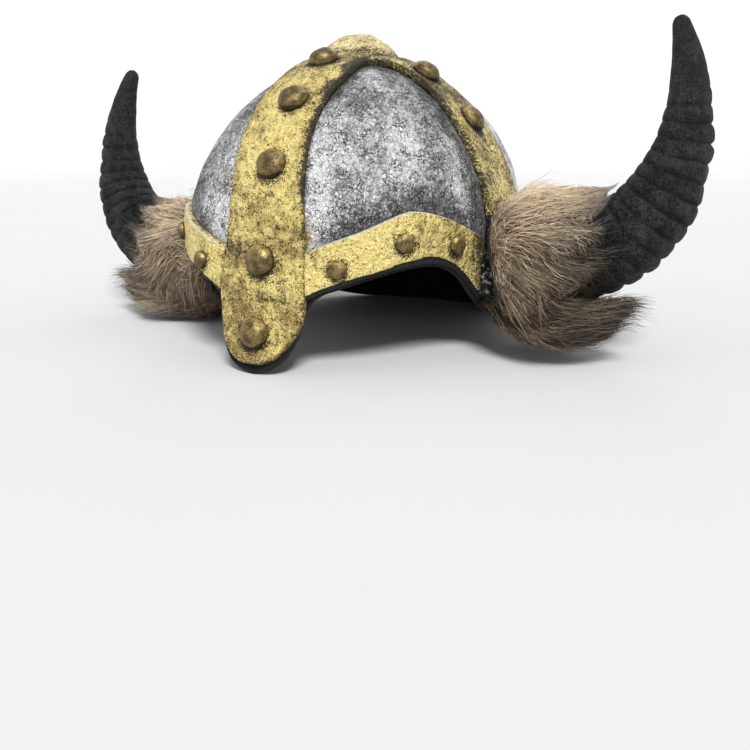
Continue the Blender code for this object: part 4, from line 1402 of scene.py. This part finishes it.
def gold_paint(name, bright, dull, dark, wear):
    """Gold rubbed over black: cloudy, with a fine grain of dark specks and of pale ones that are
    painted glints, and painted light where a band carries it. wear is how much of the black shows."""
    paint = Paint(name, 0.42, 0.28)
    broad = paint.noise(24, 2.0, shift=3.1)
    middle = paint.noise(7, 3.0, shift=7.7)
    grain = paint.noise(0.85, 2.0, 0.6)
    lumps = paint.noise(2.6, 2.0, 0.5, shift=4.4)
    # painted_light lightens the clouds as a painted highlight and darkens them as painted shade
    clouds = 0.6 * broad + 0.55 * middle + 0.2 * lumps + 0.14 * paint.attribute("painted_light") + -wear
    zone = paint.rise(clouds, 0.50, 0.84)
    base = paint.mix(zone, dull, bright)
    # pale flecks on the grain in the brighter clouds: painted glints
    flecks = paint.rise(grain + 0.25 * lumps, 0.66, 0.80) * zone
    base = paint.mix(0.6 * flecks, base, srgb(248, 236, 176))
    shown = 0.16 * paint.attribute("foot") + 0.10 * paint.attribute("edge")
    shown = shown + 0.12 * paint.attribute("crease") + 0.17 * paint.attribute("worn") + -0.07 * zone
    specks = 1 - paint.rise(grain + 0.3 * lumps + -1.0 * shown, 0.53, 0.66)
    colour = paint.mix(0.92 * specks, base, dark)
    colour = paint.mix(0.55 * paint.rise(shown, 0.06, 0.24), colour, dark)
    colour = paint.mix(0.8 * paint.rise(paint.attribute("pale"), 0.3, 0.8), colour, srgb(222, 220, 208))
    black = paint.rise(paint.attribute("black") + -0.5 * grain, 0.05, 0.3)
    paint.colour(paint.mix(black, colour, srgb(24, 23, 21)))
    paint.rough(paint.most(specks, black), 0.36, 0.64)
    paint.bump(grain + 2.2 * lumps + 1.6 * middle, 1.5)
    return paint.material


def band_paint():
    """The bands' gold."""
    return gold_paint("worn_gold_painted_light", srgb(240, 218, 134), srgb(158, 135, 76), srgb(34, 29, 20), 0.0)


def rivet_paint():
    """Brown bronze, with a painted highlight on the upper side of each head, and black under it as
    painted shade and round its foot.
    """
    paint = Paint("worn_bronze_painted_light", 0.42, 0.5)
    middle = paint.noise(4.2, 3.0, shift=2.7)
    grain = paint.noise(0.9, 2.0, 0.6, shift=5.2)
    tone = middle + 0.35 * grain
    base = paint.mix(paint.rise(tone, 0.52, 0.86), srgb(78, 64, 38), srgb(132, 112, 66))
    # rubbed is a painted highlight on the upper side of each head
    rubbed = paint.attribute("high") * paint.rise(tone, 0.5, 0.72)
    base = paint.mix(0.6 * rubbed, base, srgb(196, 174, 110))
    specks = 1 - paint.rise(grain, 0.36, 0.46)
    base = paint.mix(0.6 * specks, base, srgb(30, 25, 18))
    # black: the dark ring round the foot, and painted shade under each head
    black = paint.rise(paint.attribute("foot") + -0.4 * grain, 0.1, 0.6)
    paint.colour(paint.mix(0.85 * black, base, srgb(20, 18, 15)))
    paint.rough(black, 0.38, 0.6)
    paint.bump(0.6 * grain + middle, 0.5)
    return paint.material


def boss_paint():
    """The paler gold of the boss, made paler partly as a painted highlight on its upward face."""
    return gold_paint("brown_gold", srgb(244, 228, 172), srgb(198, 174, 114), srgb(62, 53, 38), -0.05)


def shell_paint():
    """Silver rubbed over black latex: wrinkled, with short dark cracks and a black inside."""
    paint = Paint("worn_silver_painted_light", 0.40, 0.20)
    broad = paint.noise(30, 2.0, shift=1.3)
    middle = paint.noise(8, 3.0, shift=5.9)
    grain = paint.noise(1.05, 2.0, 0.6, shift=2.2)
    lumps = paint.noise(2.8, 2.0, 0.5, shift=6.6)
    pads, pores = paint.cells(2.3, 0.9, 3.7), paint.cells(1.2, 0.6, 8.3)
    streaks = paint.noise(1.6, 3.0, 0.6, (1.0, 1.0, 6.0), shift=9.1)
    # grime_and_painted_light darkens the silver where black shows through, and carries a painted
    # highlight beside the front band and painted shade on the wearer's right
    clouds = 0.55 * broad + 0.25 * middle + 0.2 * lumps + -0.22 * paint.attribute("grime_and_painted_light")
    zone = paint.rise(clouds, 0.32, 0.64)
    base = paint.mix(zone, srgb(124, 124, 125), srgb(253, 254, 254))
    glints = paint.rise(grain + 0.35 * lumps + 0.1 * zone, 0.67, 0.77) * (0.6 * zone + 0.35)
    base = paint.mix(glints, base, srgb(255, 255, 255))
    white = paint.rise(streaks + 0.2 * zone, 0.70, 0.84)
    base = paint.mix(0.4 * white, base, srgb(236, 236, 236))
    pitted = grain + 0.35 * lumps + 0.08 * zone + -0.22 * paint.attribute("groove")
    specks = 1 - paint.rise(pitted, 0.555, 0.595)
    torn = 0.5 * middle + 0.5 * grain + -0.04 * zone
    cracks = (1 - paint.rise(pads, 0.05, 0.12)) * paint.rise(torn, 0.46, 0.50)
    pits = (1 - paint.rise(pores, 0.05, 0.15)) * paint.rise(torn, 0.52, 0.56)
    broken = paint.most(cracks, pits)
    dark = paint.most(specks, broken)
    faint = specks * (0.2 * zone + 0.5)
    colour = paint.mix(paint.most(faint, 0.96 * broken), base, srgb(12, 12, 14))
    gilt = paint.attribute("gilt") * paint.rise(middle + grain, 0.7, 1.1)
    colour = paint.mix(0.8 * gilt, colour, srgb(176, 150, 82))
    black = paint.most(paint.attribute("inside"), paint.attribute("rim"))
    paint.colour(paint.mix(black, colour, srgb(20, 21, 22)))
    paint.rough(paint.most(dark, black), 0.33, 0.66)
    paint.bump(grain + 1.6 * lumps + 1.6 * middle + 0.6 * paint.rise(pads, 0.0, 0.3) + -0.3 * dark, 1.7)
    return paint.material


def horn_paint():
    """Matte charcoal with grooves and ring roots darkened as painted shade, and faint fibres."""
    paint = Paint("charcoal", 0.6, specular=0.2)
    broad = paint.noise(13, 3.0)
    fine = paint.noise(1.3, 3.0, 0.6)
    lumps = paint.noise(3.6, 2.0, shift=4.1)
    fibres = paint.noise(1.1, 2.0, 0.6, (1.0, 1.0, 5.0))
    tone = 0.4 * broad + 0.4 * fine + 0.25 * fibres + 0.25 * lumps
    base = paint.mix(paint.rise(tone, 0.56, 0.80), srgb(1, 2, 2), srgb(54, 58, 60))
    base = paint.mix(0.4 * paint.attribute("upper"), base, srgb(48, 49, 50))
    # painted shade in the grooves and on the root side of each ring
    base = paint.mix(0.85 * paint.attribute("groove"), base, srgb(3, 3, 3))
    flecks = paint.attribute("root") * paint.rise(lumps + 0.6 * fine, 0.86, 0.96)
    paint.colour(paint.mix(0.8 * flecks, base, srgb(170, 172, 172)))
    paint.bump(fine + 0.7 * fibres + 1.2 * lumps + 0.4 * broad, 2.4)
    return paint.material


def fur_paint():
    """Taupe strands, each with its own tone, dark at the root and grey at the fur's end."""
    paint = Paint("taupe_fur", 0.45, specular=0.25)
    along, tone = paint.attribute("along"), paint.attribute("tone")
    dark = paint.mix(paint.rise(tone, 0.05, 0.55), srgb(50, 42, 34), srgb(144, 125, 103))
    light = paint.mix(paint.rise(tone, 0.5, 1.0), dark, srgb(228, 207, 178))
    rooted = paint.mix(paint.rise(along, 0.0, 0.5), srgb(48, 40, 33), light)
    grey = paint.mix(tone, srgb(34, 31, 29), srgb(140, 132, 122))
    greyed = paint.attribute("tip") * paint.rise(along, 0.15, 0.9)
    paint.colour(paint.mix(0.9 * greyed, rooted, grey))
    return paint.material


def underfur_paint():
    """Dark brown, for what shows between the strands: the fur's matted colour, darkened as painted
    shade.
    """
    paint = Paint("underfur", 0.9)
    tone = paint.noise(2.0, 3.0)
    paint.colour(paint.mix(tone, srgb(36, 30, 27), srgb(78, 66, 57)))
    paint.bump(tone, 0.6)
    return paint.material


def stage_paint():
    """A pale, barely clouded grey."""
    paint = Paint("pale_floor", 0.9)
    tone = paint.noise(400, 2.0)
    paint.colour(paint.mix(tone, (0.60, 0.60, 0.60, 1), (0.63, 0.63, 0.63, 1)))
    return paint.material


# --- stage ---

FLOOR_REACH = 1800  # of its flat part
FLOOR_CURVE = 2200  # the radius in which it then rises
SUN_PLACE = (1900, -2500, 3700)
SUN_STRENGTH = 3.4
SUN_SPREAD = 17  # in degrees, which softens its shadows
SOFT_LIGHTS = (  # name, place, diameter, watts
    ("fill_light", (-3000, -3200, 1500), 2600, 20),
    ("back_light", (-600, 3600, 3200), 2400, 20),
)
LIGHT_TARGET = (0, 0, 90)
SKY_COLOUR = (0.98, 0.99, 1.0, 1)
SKY_STRENGTH = 0.55


def make_stage(material):
    """A pale floor that curves up all round."""
    turn = np.linspace(0, 2 * np.pi, 96, endpoint=False)
    bend = np.radians(np.linspace(0, 60, 16))
    profile = [(200, 0), (900, 0)]
    profile += [(FLOOR_REACH + FLOOR_CURVE * np.sin(a), FLOOR_CURVE * (1 - np.cos(a))) for a in bend]
    rings = np.array([stack(r * np.cos(turn), r * np.sin(turn), h) for r, h in profile])
    points = np.concatenate([rings.reshape(-1, 3), [(0, 0, 0)]]) - (0, AXIS_Y, DROP)
    c = np.arange(len(turn))
    fan = np.stack([c, (c + 1) % len(turn), np.full(len(turn), len(points) - 1)], -1)
    faces = [grid_quads(len(rings), len(turn), wrap=True)[:, ::-1], fan]
    made = add_mesh("floor", points, faces)
    made.data.materials.append(material)


def aim(obj, place, target, roll=0.0):
    """Stands an object at place, looking at target, both in millimetres from the floor's middle."""
    place, target = np.array(place, float) * MM, np.array(target, float) * MM
    back = (place - target) / np.linalg.norm(place - target)
    right = np.cross((0, 0, 1.0), back)
    right /= np.linalg.norm(right)
    up = np.cross(back, right)
    rolled = np.cos(roll) * right + np.sin(roll) * up, np.cos(roll) * up - np.sin(roll) * right
    turned = Matrix(np.column_stack([*rolled, back])).to_4x4()
    obj.matrix_world = Matrix.Translation(place) @ turned
    bpy.context.scene.collection.objects.link(obj)


def add_light(name, kind, place):
    light = bpy.data.lights.new(name, kind)
    aim(bpy.data.objects.new(name, light), place, LIGHT_TARGET)
    return light


def make_lights():
    """A soft sun from the wearer's front left, two faint lights and a pale sky."""
    sun = add_light("main_light", "SUN", SUN_PLACE)
    sun.energy = SUN_STRENGTH
    sun.angle = np.radians(SUN_SPREAD)
    for name, place, diameter, watts in SOFT_LIGHTS:
        light = add_light(name, "AREA", place)
        light.shape = "DISK"
        light.size = diameter * MM
        light.energy = watts
    world = bpy.data.worlds.new("studio")
    world.use_nodes = True
    sky = world.node_tree.nodes["Background"]
    sky.inputs["Color"].default_value = SKY_COLOUR
    sky.inputs["Strength"].default_value = SKY_STRENGTH
    bpy.context.scene.world = world


def make_camera():
    """The camera, from the front and the wearer's left, a little above."""
    azimuth, elevation, roll = np.radians((VIEW_AZIMUTH, VIEW_ELEVATION, VIEW_ROLL))
    level = np.cos(elevation)
    back = np.array((np.sin(azimuth) * level, -np.cos(azimuth) * level, np.sin(elevation)))
    target = np.array(VIEW_TARGET) + (0, AXIS_Y, DROP)
    data = bpy.data.cameras.new("camera")
    data.lens = LENS
    data.clip_start = 0.02
    camera = bpy.data.objects.new("camera", data)
    aim(camera, target + VIEW_DISTANCE * back, target, roll)
    bpy.context.scene.camera = camera


def main():
    bpy.context.scene.view_settings.view_transform = "Standard"
    make_camera()
    make_stage(stage_paint())
    make_lights()
    make_shell(shell_paint())
    gold, bronze, charcoal = band_paint(), rivet_paint(), horn_paint()
    fur, underfur = fur_paint(), underfur_paint()
    make_front_band(gold)
    make_back_band(gold)
    make_boss(boss_paint())
    for number, (name, seat, band, size) in enumerate(RIVETS):
        make_rivet(number, name, seat, band, *size, bronze)
    for word, side in SIDES:
        make_side_band(word, side, gold)
        make_brow_band(word, side, gold)
        make_rear_band(word, side, gold)
        make_horn(word, side, charcoal)
        make_fur(word, side, fur, underfur)


main()
